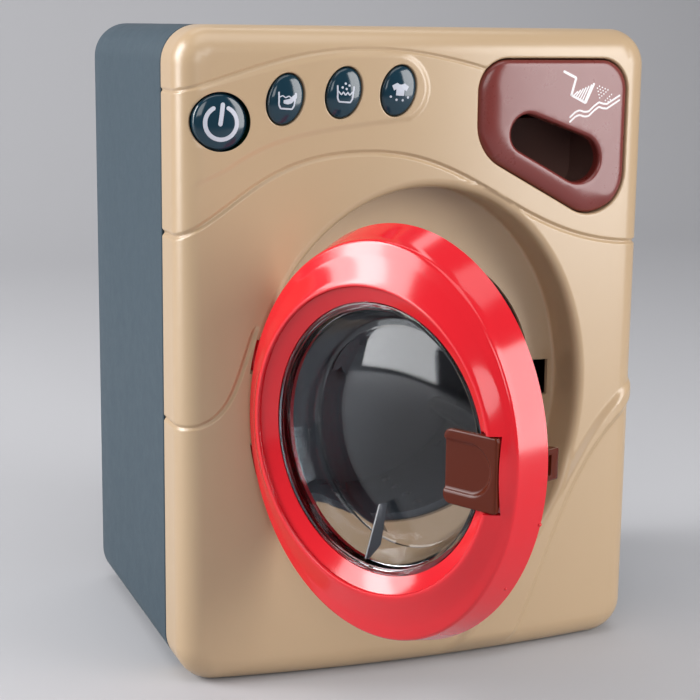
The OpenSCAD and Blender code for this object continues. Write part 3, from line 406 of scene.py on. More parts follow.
def from_core(x, z):
    """Direction and distance of a point from the flat part inside the rounded edges."""
    cx = np.clip(x, -CORE_X + CORE_R, CORE_X - CORE_R)
    cz = np.clip(z, CORE_Z[0] + CORE_R, CORE_Z[1] - CORE_R)
    dx, dz = x - cx, z - cz
    far = np.hypot(dx, dz)
    safe = np.maximum(far, 1e-9)
    away = np.where((dx == 0) | (dz == 0), np.maximum(np.abs(x) - CORE_X, np.abs(z - BODY_H / 2)
                    - (BODY_H / 2 - EDGE_R)), far - CORE_R)
    return dx / safe, dz / safe, np.clip(away, 0, EDGE_R)


def even_shine(panel):
    """Gives the face the exact directions of its surface, so that reflections run evenly."""
    mesh = panel.data
    x, y, z = read(mesh.vertices, "co").T / MM
    step = 0.04

    def depth(x, z):
        return face_points(x, z)[:, 1]

    on_face = (np.abs(y - depth(x, z)) < 0.03) & (from_core(x, z)[2] < EDGE_R * 0.97)
    ahead = np.stack([(depth(x + step, z) - depth(x - step, z)) / (2 * step), -np.ones(len(x)),
                      (depth(x, z + step) - depth(x, z - step)) / (2 * step)], 1)
    ahead /= np.linalg.norm(ahead, axis=1)[:, None]
    corners = read(mesh.loops, "vertex_index", 1, int)
    shown = read(mesh.corner_normals, "vector")
    flat = np.repeat(read(mesh.polygons, "normal"), read(mesh.polygons, "loop_total", 1, int), axis=0)
    use = on_face[corners] & (np.sum(flat * ahead[corners], axis=1) > 0.8)
    shown[use] = ahead[corners][use]
    mesh.normals_split_custom_set(shown.tolist())


UPPER_CREASE = bezier([(-82, 189.6), (-56, 196), (-34, 212), (20, 196.6)], 60)
LOWER_CREASE = bezier([(-82, 145), (-62, 153.5), (-56, 171.3), (-21, 171.3)], 50)[:-1] \
    + bezier([(-21, 171.3), (18, 171.3), (32, 139.4), (82, 139.4)], 60)
LEFT_CREASE = bezier([(-82, 85.4), (-65, 85.6), (-64, 97), (-57.5, 116)], 40)
SWEEP = bezier([(82, 91.5), (54, 79), (51, 38), (4, -1)], 50) \
    + bezier([(30, -1), (48, 30), (50, 66), (82, 85.5)], 50)
PAD = bezier([(-86, 188), (-58, 196), (-38, 203), (-12, 201.4)], 30) \
    + arc((-12.5, 191), 10.4, 80, -62, 14) \
    + bezier([(-7.6, 181.8), (-38, 178.5), (-52, 177), (-66, 166.6)], 30) + [(-86, 157)]


def relief(x, z, lean):
    """Height of the face above the plain crown: creases, the pad and the sweeping band."""
    p = np.stack([x, z], 1)
    out = np.zeros(len(p))
    for line, depth, half in ((UPPER_CREASE, 0.5, 0.9), (LOWER_CREASE, 0.8, 1.2),
                              (LEFT_CREASE, 0.6, 1.1)):
        d = distance(p, line)
        out -= depth * smooth(1 - d / half)
    for loop, height, soft, side in ((PAD, 0.6, 2.2, 0.0), (SWEEP, 1.7, 3.0, 0.6)):
        d = distance(p, loop, True)
        signed = np.where(inside(p, loop), d, -d)
        out += height * smooth(signed / soft + 0.5) * (1 - (1 - side) * smooth(lean * 1.6))
    return out * smooth((z - 1.5) / 7)


def face_points(x, z):
    """Points of the front face over places (x, z) of the front view."""
    x, z = np.asarray(x, float), np.asarray(z, float)
    nx, nz, away = from_core(x, z)
    base = crown(np.minimum(np.abs(x), SIDE_START)) + EDGE_R
    y = base - np.sqrt(np.maximum(EDGE_R ** 2 - away ** 2, 0))
    lean = away / EDGE_R
    high = relief(x, z, lean)
    return np.stack([x + nx * lean * high, y - np.sqrt(1 - lean ** 2) * high, z + nz * lean * high], 1)


def core_rim():
    """Places round the flat part of the face, with the direction outward at each.

    Steps are finer where a crease, the pad or the sweeping band runs over the edge.
    """
    left = [UPPER_CREASE[0][1], LOWER_CREASE[0][1], LEFT_CREASE[0][1], PAD[0][1], PAD[-1][1]]
    right = [LOWER_CREASE[-1][1], SWEEP[0][1], SWEEP[-1][1]]
    below = range(3, 34, 4)

    def steps(low, high, fine):
        at = set(np.round(np.arange(low, high + 0.01, (high - low) / round((high - low) / 1.8)), 3))
        for m in fine:
            at |= set(np.round(np.arange(max(m - 2.1, low), min(m + 2.11, high), 0.35), 3))
        at = np.array(sorted(at))
        return at[np.concatenate([[True], np.diff(at) > 0.15])]

    x, z0, z1 = CORE_X - CORE_R, CORE_Z[0] + CORE_R, CORE_Z[1] - CORE_R
    sides = (((0, -1), [(v, CORE_Z[0]) for v in steps(-x, x, below)], (x, z0)),
             ((1, 0), [(CORE_X, v) for v in steps(z0, z1, right)], (x, z1)),
             ((0, 1), [(v, CORE_Z[1]) for v in steps(-x, x, ())[::-1]], (-x, z1)),
             ((-1, 0), [(-CORE_X, v) for v in steps(z0, z1, left)[::-1]], (-x, z0)))
    out = []
    for k, (outward, side, centre) in enumerate(sides):
        out += [(p, outward) for p in side]
        for a in np.radians(np.linspace(90 * k - 90, 90 * k, 14)[1:-1]):
            n = (math.cos(a), math.sin(a))
            out.append(((centre[0] + CORE_R * n[0], centre[1] + CORE_R * n[1]), n))
    return out


def offset_line(line, away):
    """Points beside a line at a distance."""
    return [tuple(v) for v in np.array(line) + away * normals(line)]


def lip_loops(outline, radius, steps, last=90):
    """Loops that round the edge of an opening: outline(grow) is the opening, larger by grow."""
    start = outline(radius)
    top = face_points(*np.array(start).T)[:, 1]
    loops = []
    for a in np.radians(np.linspace(0, last, steps)):
        loops.append(at_depth(outline(radius * (1 - math.sin(a))), top + radius * (1 - math.cos(a))))
    loops[0] = [tuple(v) for v in face_points(*np.array(start).T)]
    return start, loops


# heights of the slots that let the hinge arms through the recess's wall
HINGE_SLOTS = [(DOOR_Z + s * ARM_Z - ARM_H - 0.5, DOOR_Z + s * ARM_Z + ARM_H + 0.5) for s in (-1, 1)]
Opening = namedtuple("Opening", "outline lip_r steps turn wall_y row")


def recess_outline(grow):
    """Outline of the door's recess, larger by grow, with places at the edges of the hinge slots."""
    at = list(np.linspace(0, 2 * math.pi, 200, endpoint=False))
    at += [math.pi - math.asin((z - DOOR_Z) / RECESS_B) for slot in HINGE_SLOTS for z in slot]
    at = np.sort(at)
    return [((RECESS_A + grow) * math.cos(t), DOOR_Z + (RECESS_B + grow) * math.sin(t))
            for t in at[np.concatenate([[True], np.diff(at) > 0.004])]]


def power_outline(grow):
    """Outline of the power button's hole, larger by grow."""
    r = POWER_R + BUTTON_GAP + grow
    return ellipse(r, r, 56, POWER)


def mode_outline(spot):
    """Outline of a mode button's hole, as a function of how much larger it is."""
    return lambda grow: ellipse(MODE_A + BUTTON_GAP + grow, MODE_B + BUTTON_GAP + grow, 48, spot,
                                MODE_TILT)


def panel_openings():
    """Openings of the face, each with its lip, the back of its wall and a row of points round it.

    The power button's hole runs into the rounded edge, so its lip is short and it has no row.
    """
    return [Opening(recess_outline, LIP_R, 7, 90, None, 1.6),
            Opening(power_outline, 0.5, 4, 45, None, None),
            *[Opening(mode_outline(spot), 0.5, 4, 90, FRONT_Y + 2, 0.8) for spot in MODES],
            Opening(lambda grow: drawer_outline(DRAWER_GAP + grow), 0.8, 4, 90, SEAM_Y - 4, 0.8)]


def edge_line(rim, angle):
    """Line round the front edge, from the face (0 degrees) to the side (90 degrees)."""
    foot, out = (np.array(v) for v in zip(*rim))
    return foot + out * EDGE_R * math.sin(math.radians(angle))


def add_sides(skin, rim):
    """Rounded front edge beyond the face's triangles, and the side walls back to the seam."""
    loops = [face_points(*edge_line(rim, a).T) for a in range(FACE_ANGLE, 91, 8)]
    edge = loops[-1]
    for y in (-52, -48, -44, SEAM_Y - SEAM_WIDER):
        back = edge.copy()
        back[:, 1] = np.maximum(edge[:, 1], y)
        loops.append(back)
    skin.skin([[tuple(v) for v in loop] for loop in loops])


def add_face(skin, rim, holes, starts):
    """The crowned face: a grid of points, with rows beside every crease, soft edge and opening."""
    outer = [tuple(p) for p in edge_line(rim, FACE_ANGLE)]

    def on_face(p, room=0.5):
        ok = inside(p, outer) & (distance(p, outer, True) > room)
        for start in starts:
            ok &= ~inside(p, start) & (distance(p, start, True) > room)
        return ok

    beside = ((UPPER_CREASE, (0, 0.25, 0.5, 0.75, 1.0)), (LOWER_CREASE, (0, 0.3, 0.6, 0.9, 1.3)),
              (LEFT_CREASE, (0, 0.3, 0.6, 0.9, 1.2)), (PAD, (0, 0.4, 0.8, 1.3)),
              (SWEEP, (0, 0.4, 0.8, 1.2, 1.7)))
    paths = []
    for line, rows in beside:
        even = resample(line, 1.0, False)
        for r in rows:
            for side in ((-1, 1) if r else (1,)):
                paths += kept_parts(offset_line(even, side * r), on_face)
    for angle in range(2, 51, 8):
        ring = edge_line(rim, angle)
        paths += kept_parts(np.concatenate([ring, ring[:1]]), on_face)
    rows = np.concatenate(paths)
    around = np.array([p for hole, start in zip(holes, starts) if hole.row
                       for p in offset_ring(start, hole.row)])
    around = around[[bool(np.min(np.hypot(*(rows - p).T)) > 0.4) for p in around]]
    grid = even_grid(-70.4, 70.5, 10, 201, 2.2)
    free = np.min([distance(grid, line) for line, _ in beside], axis=0)
    points = np.concatenate([around, grid[free > 2.0]])
    points = thin_out(points[on_face(points)], 0.3)
    flat, faces = triangulate(points, [outer] + starts, lambda c: on_face(c, 0.0), paths)
    skin.add(face_points(*flat.T), faces)


def add_recess(skin, lip):
    """Lip, wall and floor of the recess, open at the hinge slots, the mouth and the latch's slot."""
    corner, slot_y = 1.2, -53.4
    wall = [lip[-1]]
    for y in (FRONT_Y - 2, FRONT_Y + 2, slot_y, FLOOR_Y - corner):
        wall.append([(x, max(y, front), z) for x, front, z in lip[-1]])
    for a in np.radians((30, 60, 90)):
        wall.append(at_depth(recess_outline(-corner * (1 - math.cos(a))),
                             FLOOR_Y - corner * (1 - math.sin(a))))
    for loops in (lip, wall):
        verts, quads = bands(loops)
        middles = np.array([[verts[i] for i in q] for q in quads]).mean(1)
        skin.add(verts, [q for q, c in zip(quads, middles) if c[0] > 0 or c[1] > slot_y
                         or not any(low < c[2] < high for low, high in HINGE_SLOTS)])
    edge = recess_outline(-corner)
    mouth = ellipse(MOUTH_R, MOUTH_R, 128, (0, DOOR_Z))
    left, low, right, high = SLOT
    slot = rounded_rect(right - left, high - low, 0.5, ((left + right) / 2, (low + high) / 2), 4)
    skin.sheet(FLOOR_Y, edge, [mouth, slot])


def make_front_panel(finish):
    """Front moulding: crowned face with rounded edges, openings, recess and rim."""
    skin = Mesh()
    rim = core_rim()
    add_sides(skin, rim)
    holes = panel_openings()
    starts = []
    for hole in holes:
        start, lip = lip_loops(hole.outline, hole.lip_r, hole.steps, hole.turn)
        starts.append(start)
        if hole.wall_y is not None:
            lip.append([(x, hole.wall_y, z) for x, _, z in lip[-1]])
        if hole.outline is recess_outline:
            recess_lip = lip
        else:
            skin.skin(lip)
    add_face(skin, rim, holes, starts)
    add_recess(skin, recess_lip)
    panel = skin.make("front_panel", "cabinet", finish, outward=False)
    with editing(panel) as bm:
        bmesh.ops.recalc_face_normals(bm, faces=bm.faces)
        front = max(bm.faces, key=lambda f: -f.calc_center_median().y)
        if front.normal.y > 0:
            bmesh.ops.reverse_faces(bm, faces=bm.faces)
    thicken(panel, PANEL_T)
    shade(panel, 40)
    even_shine(panel)
    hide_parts("front_shell")


def offset_ring(loop, away):
    """Points outside a closed loop at a distance."""
    p = np.array(loop)
    area = np.sum(p[:, 0] * np.roll(p[:, 1], -1) - np.roll(p[:, 0], -1) * p[:, 1])
    side = 1 if area > 0 else -1
    return [tuple(v) for v in p - side * away * normals(p, True)]


def thin_out(points, room):
    """Drops points that lie closer than room to an earlier one."""
    seen, kept = set(), []
    for p in points:
        key = (int(math.floor(p[0] / room)), int(math.floor(p[1] / room)))
        if not any((key[0] + i, key[1] + j) in seen for i in (-1, 0, 1) for j in (-1, 0, 1)):
            seen.add(key)
            kept.append(p)
    return np.array(kept)


# ---------- rear housing ----------

WELL_X, WELL_Z = BODY_W / 2 - 13, 14.0
CASING = [(-WELL_X, WELL_Z), (WELL_X, WELL_Z), (-WELL_X, BODY_H - 11),
          (DRAWER_X[0] - 7.1, BODY_H - 10), (BODY_W / 2 - 6, 128)]   # screw wells
WELL_R, WELL_Y = 3.1, SEAM_Y + 8.2                                   # their bore and its end
CELLS_LOW, CELLS_HIGH = box("cells")
CELL_LEN = CELLS_HIGH[0] - CELLS_LOW[0]
CELL_R = round((CELLS_HIGH[1] - CELLS_LOW[1]) / 2, 1)
BAY_Z = middle("cells")[2]
COVER_W, COVER_H, COVER_T = CELL_LEN + 21, 4 * CELL_R + 15.4, 2.0
SPEAKER = middle("speaker")[::2]
SOUND_R, SOUND_STEP = 1.1, 4.4                                       # sound holes and their spacing


def cabinet_outline(inset, n=14):
    """Outline of the cabinet in the front view, smaller by inset."""
    return rounded_rect(BODY_W - 2 * inset, BODY_H - 2 * inset, CORNER_R - inset, (0, BODY_H / 2), n)


def sound_holes():
    """Sound holes in three rings round a middle one."""
    spots = [SPEAKER]
    for ring in (1, 2, 3):
        for a in np.radians([i * 60 / ring for i in range(ring * 6)]):
            spots.append((SPEAKER[0] + ring * SOUND_STEP * math.cos(a),
                          SPEAKER[1] + ring * SOUND_STEP * math.sin(a)))
    return [ellipse(SOUND_R, SOUND_R, 14, spot) for spot in spots]


def make_rear_case(finish):
    """Rear moulding: box with rounded back edges, screw wells, sound holes and cover seat."""
    skin = Mesh()
    start, inner_y = SEAM_Y + SEAM, BACK_Y - WALL
    loops = [at_depth(cabinet_outline(WALL), start + 1.2),
             at_depth(cabinet_outline(WALL), start + 0.1),
             at_depth(cabinet_outline(WALL - 0.3), start),
             at_depth(cabinet_outline(0.3), start),
             at_depth(cabinet_outline(0), start + 0.3)]
    for y in np.linspace(start + 12, BACK_Y - BACK_R, 6):
        loops.append(at_depth(cabinet_outline(0), y))
    for a in np.radians(np.arange(15, 91, 15)):
        loops.append(at_depth(cabinet_outline(BACK_R * (1 - math.cos(a))),
                              BACK_Y - BACK_R * (1 - math.sin(a))))
    skin.skin(loops)
    edge = cabinet_outline(BACK_R)
    seat = rounded_rect(COVER_W + 0.5, COVER_H + 0.5, 4, (0, BAY_Z), 8)
    wells = [ellipse(WELL_R, WELL_R, 28, p) for p in CASING]
    sound = sound_holes()
    holes = [seat] + wells + sound
    skin.sheet(BACK_Y, edge, holes)
    for well in wells:
        skin.wall(well, BACK_Y, WELL_Y, closed=True)
    for hole in sound:
        skin.wall(hole, BACK_Y, inner_y)
    # seat of the battery cover, and the bay below it
    bay = rounded_rect(CELL_LEN + 11, 4 * CELL_R + 3.4, 0.5, (0, BAY_Z), 3)
    seat_y = BACK_Y - COVER_T - 0.1
    bay_y = inner_y - 2 * CELL_R - 2.2
    skin.wall(seat, BACK_Y, seat_y)
    skin.sheet(seat_y, seat, [bay])
    skin.wall(bay, seat_y, bay_y, closed=True)
    inner = cabinet_outline(WALL)
    skin.wall(inner, start + 1.2, inner_y)
    skin.sheet(inner_y, inner, sound)
    case = skin.make("rear_case", "cabinet", finish, flat=35)
    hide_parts("rear_shell")


# ---------- door ----------

def door_pose():
    """Turn from the closed door to the rest pose."""
    to = Matrix.Translation(Vector((HINGE[0], HINGE[1], 0)) * MM)
    return to @ Matrix.Rotation(-DOOR_OPEN, 4, "Z") @ to.inverted()


def oval_loop(a, b, y, n=160, reach=0.0):
    """Loop of an oval about the door's axis, wider to the hinge and lower by a share reach."""
    return [(x * (1 + RING_WIDER * reach / a) if x < 0 else x, y, z)
            for x, z in ellipse(a, b, n, (0, DOOR_Z - RING_DROP * reach))]


def round_loop(r, y, n=160):
    """Circle about the door's axis."""
    return oval_loop(r, r, y, n)


def side_loop(grow, y, reach=0.0):
    """Oval of the ring's side wall, larger by grow than the shoulder."""
    return oval_loop(RING_A + grow, RING_B + grow, y, reach=reach)


def add_ring_face(loops, shoulder_y):
    """Shoulder, hollow face, inner lip and the slope down to the window, as loops inward."""
    shoulder_r, lip_r = 1.5, RING_LIP_R + 1.6
    for a in np.radians((20, 40, 60, 80)):
        loops.append(side_loop(0.3 - shoulder_r * (1 - math.cos(a)),
                               shoulder_y - shoulder_r * math.sin(a), 1))
    for t in [k / 8 for k in range(1, 9)]:
        share = 0.18 + 0.82 * t         # from the oval shoulder (0) to the round lip (1)
        a, b = ((half - 0.6 * (1 - t)) * (1 - share) + lip_r * share for half in (RING_A, RING_B))
        loops.append(oval_loop(a, b, DOOR_Y - 0.15 - (RING_RISE - 1.2) * t ** 1.25, reach=1 - share))
    top_y = loops[-1][0][1]
    for a in np.radians((25, 50, 75, 100, 125)):
        loops.append(round_loop(lip_r - 1.43 * math.sin(a),
                                top_y - 0.27 * math.sin(2 * a) + 0.66 * (1 - math.cos(a))))
    last_y, slope_r = loops[-1][0][1], RING_LIP_R + 0.2
    for t in (0.3, 0.65, 1.0):
        loops.append(round_loop(slope_r - (slope_r - WINDOW_R) * t, last_y + (DOOR_Y - last_y) * t))


def make_door_ring(finish):
    """Door ring: oval side wall with draft, soft shoulder, face rising to a round inner lip."""
    back_y, shoulder_y = DOOR_Y + RING_DEPTH + 1, DOOR_Y + 1.6
    loops = [side_loop(RING_DRAFT * (1 - t) + 0.3 * t, back_y + (shoulder_y - back_y) * t, t)
             for t in [k / 6 for k in range(7)]]
    add_ring_face(loops, shoulder_y)
    # ledge over the window's rim, wall that holds the window, hollow and back edge
    ledge_y, foot_y = DOOR_Y + 1.5, DOOR_Y + 3.2
    loops += [round_loop(WINDOW_R, ledge_y), round_loop(RING_LIP_R, ledge_y),
              round_loop(RING_LIP_R, foot_y), round_loop(RING_LIP_R + 2, foot_y),
              round_loop(RING_LIP_R + 2.1, DOOR_Y + 0.6),
              side_loop(-2, DOOR_Y + 1.8), side_loop(RING_DRAFT - 2, back_y - 0.2),
              side_loop(RING_DRAFT - 1.7, back_y), side_loop(RING_DRAFT - 0.3, back_y)]
    loops.append(loops[0])
    skin = Mesh()
    skin.skin(loops)
    ring = skin.make("ring_moulding", "door", finish, flat=38)
    # notch for the latch plate, slot for its arm, and room for the arm's barrel behind
    plate_h, arm_h = 11.1, 4.85
    for x0, x1, y0, y1, h in ((-9, -0.6, -80, DOOR_Y + 1.0, plate_h), (-4.5, -0.62, -80, 0, arm_h),
                              (-4.4, 3.2, DOOR_Y + 1.1, 0, arm_h)):
        combine(ring, (LATCH_X + x0, y0, LATCH_Z - h), (LATCH_X + x1, y1, LATCH_Z + h), "DIFFERENCE")
    # ears that hold the latch pin
    for s in (-1, 1):
        ear_z = LATCH_Z + s * 7.4
        combine(ring, (LATCH_X - 3, DOOR_Y + 1.4, ear_z - 1.2),
                (LATCH_X + 3, DOOR_Y + 7, ear_z + 1.2), "UNION")
    ring.data.transform(door_pose())
    shade(ring, 38)
    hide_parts("door_ring")


def make_hinge_arms(finish):
    """Two arms from the ring to the hinge pin, each with an eye."""
    eye = ellipse(1.9, 1.9, 32, HINGE)
    arm = [(HINGE[0] + x, HINGE[1] + y)
           for x, y in ((1.2, -0.6), (8, 2.6), (8, 5.2), (2.4, 5.2), (-1.2, 1))]
    arms = Mesh()
    for z in (DOOR_Z - ARM_Z, DOOR_Z + ARM_Z):
        for loop in (eye, arm):
            arms.prism(*[[(x, y, z + h) for x, y in loop] for h in (-ARM_H, ARM_H)])
    arms.make("hinge_arms", "door", finish, flat=38, at=door_pose())


def nib_tree():
    """Node tree: a nib on every point, each of its own size."""
    tree = bpy.data.node_groups.new("nibs", "GeometryNodeTree")
    for label, kind in (("Points", "Geometry"), ("Radius", "Float"), ("Spread", "Float"),
                        ("Seed", "Int"), ("Finish", "Material")):
        tree.interface.new_socket(label, in_out="INPUT", socket_type="NodeSocket" + kind)
    tree.interface.new_socket("Nibs", in_out="OUTPUT", socket_type="NodeSocketGeometry")
    given = tree.nodes.new("NodeGroupInput").outputs
    ball = add(tree, "GeometryNodeMeshIcoSphere", {"Radius": given["Radius"], "Subdivisions": 3})
    smallest = add(tree, "ShaderNodeMath", {0: 1.0, 1: given["Spread"]}, operation="SUBTRACT")
    size = tree.nodes.new("FunctionNodeRandomValue")
    sockets = [s for s in size.inputs if s.enabled]
    tree.links.new(smallest.outputs[0], sockets[0])
    sockets[1].default_value = 1.0
    tree.links.new(given["Seed"], size.inputs["Seed"])
    placed = add(tree, "GeometryNodeInstanceOnPoints",
                 {"Points": given["Points"], "Instance": ball.outputs["Mesh"],
                  "Scale": [s for s in size.outputs if s.enabled][0]})
    real = add(tree, "GeometryNodeRealizeInstances", {"Geometry": placed.outputs["Instances"]})
    coated = add(tree, "GeometryNodeSetMaterial", {"Geometry": real.outputs["Geometry"],
                                                   "Material": given["Finish"]})
    add(tree, "NodeGroupOutput", {"Nibs": coated.outputs["Geometry"]})
    return tree


def make_nibs(finish):
    """Sprue nibs left on the ring's side wall by the mould."""
    places = []
    for turn, depth in ((-15, 0.2), (-36, 2.6), (200, 3.0)):
        # share of the way from the wall's back to the shoulder, and the wall's size there
        t = depth / (RING_DEPTH - 0.6)
        grow = RING_DRAFT * (1 - t) + 0.3 * t - 0.1
        a = math.radians(turn)
        wide = RING_WIDER * t if math.cos(a) < 0 else 0
        places.append(((RING_A + grow + wide) * math.cos(a), DOOR_Y + RING_DEPTH + 1 - depth,
                       DOOR_Z - RING_DROP * t + (RING_B + grow) * math.sin(a)))
    nibs = new_object("ring_nibs", places, [])
    tree = nib_tree()
    grown = nibs.modifiers.new("nibs", "NODES")
    grown.node_group = tree
    sizes = {"Radius": 0.7 * MM, "Spread": 0.5, "Seed": 7, "Finish": finish}
    for socket in tree.interface.items_tree:
        if socket.in_out == "INPUT" and socket.name in sizes:
            grown[socket.identifier] = sizes[socket.name]
    finish_modifiers(nibs)
    nibs.data.transform(door_pose())
    shade(nibs, 40)
    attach(nibs, "door")


def combine(piece, low, high, operation):
    """Cuts a box out of a piece (DIFFERENCE), or joins one to it (UNION)."""
    verts = [(x, y, z) for z in (low[2], high[2]) for y in (low[1], high[1]) for x in (low[0], high[0])]
    faces = [(0, 2, 3, 1), (4, 5, 7, 6), (0, 1, 5, 4), (2, 6, 7, 3), (0, 4, 6, 2), (1, 3, 7, 5)]
    tool = new_object("cutter", verts, faces)
    mod = piece.modifiers.new("box", "BOOLEAN")
    mod.operation, mod.object, mod.solver = operation, tool, "EXACT"
    finish_modifiers(piece)
    bpy.data.objects.remove(tool)


def make_window(finish):
    """Clear dished window with stepped rim rings."""
    seat = DOOR_Y + 1.6
    # radius and depth behind the seat: the front from the rim to the middle, and the back outwards
    rim = WINDOW_R - 0.3
    front = [(rim, -1.6), (WINDOW_R - 0.9, -1.75), (39.2, -1.6), (39.0, -1.1), (38.6, -1.0), (38.3, -0.2),
             (37.6, 1.8), (36.4, 5.4), (35.4, 8.4), (34.5, 9.8), (33.4, 10.2), (32.0, 10.0), (30, 9.55),
             (24, 8.55), (16, 7.75), (8, 7.45), (0.6, 7.4)]
    back = [(0.6, 9.0), (8, 9.05), (16, 9.35), (24, 10.15), (30, 11.15), (33.0, 11.8), (34.8, 11.6),
            (36.2, 9.8), (37.3, 6.6), (38.4, 3.4), (38.7, 1.6), (44.8, 1.6), (44.8, 0), (rim, 0)]
    loops = [round_loop(r, seat + d, 128) for r, d in front + back]
    loops.append(loops[0])
    skin = Mesh()
    skin.skin(loops[:len(front)])
    skin.skin(loops[len(front):])
    skin.cap(loops[len(front) - 1])
    skin.cap(loops[len(front)])
    window = skin.make("window_pane", "door", finish, flat=32, at=door_pose())
    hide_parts("window")


def make_fin(finish):
    """Upright blade on the window's floor, wide at its top and running out at the rim."""
    blade = [(-37.5, 1.0), (-37.9, 2.2), (-34.6, 7.6), (-22.0, 10.2), (-21.7, 7.0)]
    fin = Mesh()
    fin.prism(*[[(x, DOOR_Y + d, DOOR_Z + z) for z, d in blade] for x in (-4.5, -3.7)])
    soften(fin.make("window_fin", "door", finish, flat=32, at=door_pose()), 0.25)


def soften(piece, radius, segments=3):
    """Rounds the edges of a piece."""
    bevel = piece.modifiers.new("edges", "BEVEL")
    bevel.width = radius * MM
    bevel.segments = segments
    bevel.limit_method = "ANGLE"
    bevel.angle_limit = math.radians(30)
    finish_modifiers(piece)
    shade(piece, 50)


# ---------- latch ----------

PLATE_FRONT, PLATE_BACK = DOOR_Y - 3.3, DOOR_Y - 1.9


def make_latch_plate(finish):
    """Latch plate with a round thumb hollow that is open to its free edge."""
    left, right = LATCH_X - 19.8, LATCH_X - 0.9
    low, high = LATCH_Z - 10.8, LATCH_Z + 10.8
    thumb, thumb_r, depth = (left + 9.4, LATCH_Z + 0.4), 7.2, 0.85
    edge_r = 0.5
    inner = resample(rounded_polygon([(left + edge_r, low + edge_r), (right - edge_r, low + edge_r),
                                      (right - edge_r, high - edge_r), (left + edge_r, high - edge_r)],
                                     [2.0, 0.3, 0.3, 2.0], 8), 0.5)

    def hollow(p):
        """Depth of the thumb hollow: a round dish that runs out at the free edge."""
        p = np.asarray(p)
        d = np.where(p[:, 0] < thumb[0], np.abs(p[:, 1] - thumb[1]),
                     np.hypot(p[:, 0] - thumb[0], p[:, 1] - thumb[1]))
        return depth * smooth((thumb_r - d) / 1.3 + 0.5)

    def in_plate(p):
        return inside(p, inner) & (distance(p, inner, True) > 0.2)

    # rows of points along the hollow's rim, and a grid between them
    rows = []
    for r in (thumb_r + away for away in (-1.1, -0.65, -0.3, 0.0, 0.3, 0.65, 1.1)):
        straight = np.arange(left + 0.8, thumb[0], 0.6)
        row = np.array([(x, thumb[1] - r) for x in straight] + arc(thumb, r, -90, 90, 40)
                       + [(x, thumb[1] + r) for x in straight[::-1]])
        rows.append([tuple(v) for v in row[in_plate(row)]])
    grid = even_grid(left + 1, right - 0.5, low + 1, high - 0.5, 1.1)
    edge = np.array([p for row in rows for p in row])
    grid = grid[in_plate(grid)]
    grid = grid[[bool(np.min(np.hypot(*(edge - p).T)) > 0.45) for p in grid]]
    flat, faces = triangulate(grid, [inner], lambda c: inside(c, inner), rows)
    skin = Mesh()
    skin.add(at_depth(flat, PLATE_FRONT + hollow(flat)), faces)
    rim = np.array(inner)
    out = np.array(offset_ring(inner, 1.0)) - rim
    loops = []
    for a in np.radians((0, 30, 60, 90)):
        p = rim + out * edge_r * math.sin(a)
        loops.append(at_depth(p, PLATE_FRONT + hollow(rim) + edge_r * (1 - math.cos(a))))
    loops.append(at_depth(p, PLATE_BACK))
    skin.skin(loops)
    skin.cap(loops[-1])
    plate = skin.make("latch_plate", "latch", finish, flat=40, at=door_pose())
    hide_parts("latch_lever")


def make_latch_hook(finish):
    """Arm of the latch: from the plate round the pin's barrel to the hook, with an opening."""
    pin_y, tip_y, half = DOOR_Y + 4, FLOOR_Y + FLOOR_T + 2, 4.5
    arm = [(-4.0, PLATE_BACK - 0.3), (-1.4, PLATE_BACK - 0.3), (-1.0, DOOR_Y + 1.6), (1.0, DOOR_Y + 2.0),
           (1.9, pin_y - 0.8), (2.2, pin_y + 0.6), (1.8, pin_y + 2), (1.8, tip_y), (0.2, tip_y),
           (-3.4, tip_y - 1.6), (-3.4, tip_y - 2.4), (0, tip_y - 2.4), (0, pin_y + 2.4),
           (-2.3, pin_y + 0.8), (-2.6, pin_y - 2.2)]
    skin = Mesh()
    skin.prism(*[[(LATCH_X + x, y, LATCH_Z + h) for x, y in arm] for h in (-half, half)])
    hook = skin.make("latch_hook", "latch", finish, flat=40)
    combine(hook, (LATCH_X - 6, pin_y + 4.5, LATCH_Z - 3), (LATCH_X + 6, tip_y - 3.2, LATCH_Z + 3),
            "DIFFERENCE")
    soften(hook, 0.2, 2)
    hook.data.transform(door_pose())


# ---------- buttons ----------

def dome_face(spot, dome_r, rise):
    """Height function of a button's domed face."""
    face = crown(spot[0]) - rise

    def y(x, z):
        return face + dome_r - np.sqrt(dome_r ** 2 - (x - spot[0]) ** 2 - (z - spot[1]) ** 2)
    return y


def make_cap(name, body, spot, a, b, tilt, dome_r, rise, finish):
    """Domed button cap with a soft edge, a flange behind the panel and a stem."""
    edge, flange_y, stem_y, n = 0.9, FRONT_Y + 2.1, -52.1, 64
    y = dome_face(spot, dome_r, rise)
    loops = []
    for t in (0.02, 0.2, 0.4, 0.6, 0.8, 1.0):
        loop = ellipse((a - edge) * t, (b - edge) * t, n, spot, tilt)
        loops.append([(x, float(y(x, z)), z) for x, z in loop])
    rim = loops[-1]
    for s in np.radians((20, 40, 60, 80, 90)):
        loop = ellipse(a - edge + edge * math.sin(s), b - edge + edge * math.sin(s), n, spot, tilt)
        loops.append([(x, r[1] + edge * (1 - math.cos(s)) + 0.28 * math.sin(s), z)
                      for (x, z), r in zip(loop, rim)])
    wide = ellipse(a + 0.9, b + 0.9, n, spot, tilt)
    loops += [at_depth(loop, flange_y), at_depth(wide, flange_y), at_depth(wide, flange_y + 1.2)]
    skin = Mesh()
    skin.skin(loops)
    skin.cap(loops[0])
    skin.cap(loops[-1])
    button = skin.make(name, body, finish, flat=45)
    stem = ellipse(1.6, 1.6, 24, spot)
    rod = Mesh()
    rod.prism(at_depth(stem, flange_y + 1.1), at_depth(stem, stem_y))
    rod.make(name + "_stem", body, finish, flat=45)
    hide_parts(body)
    return y


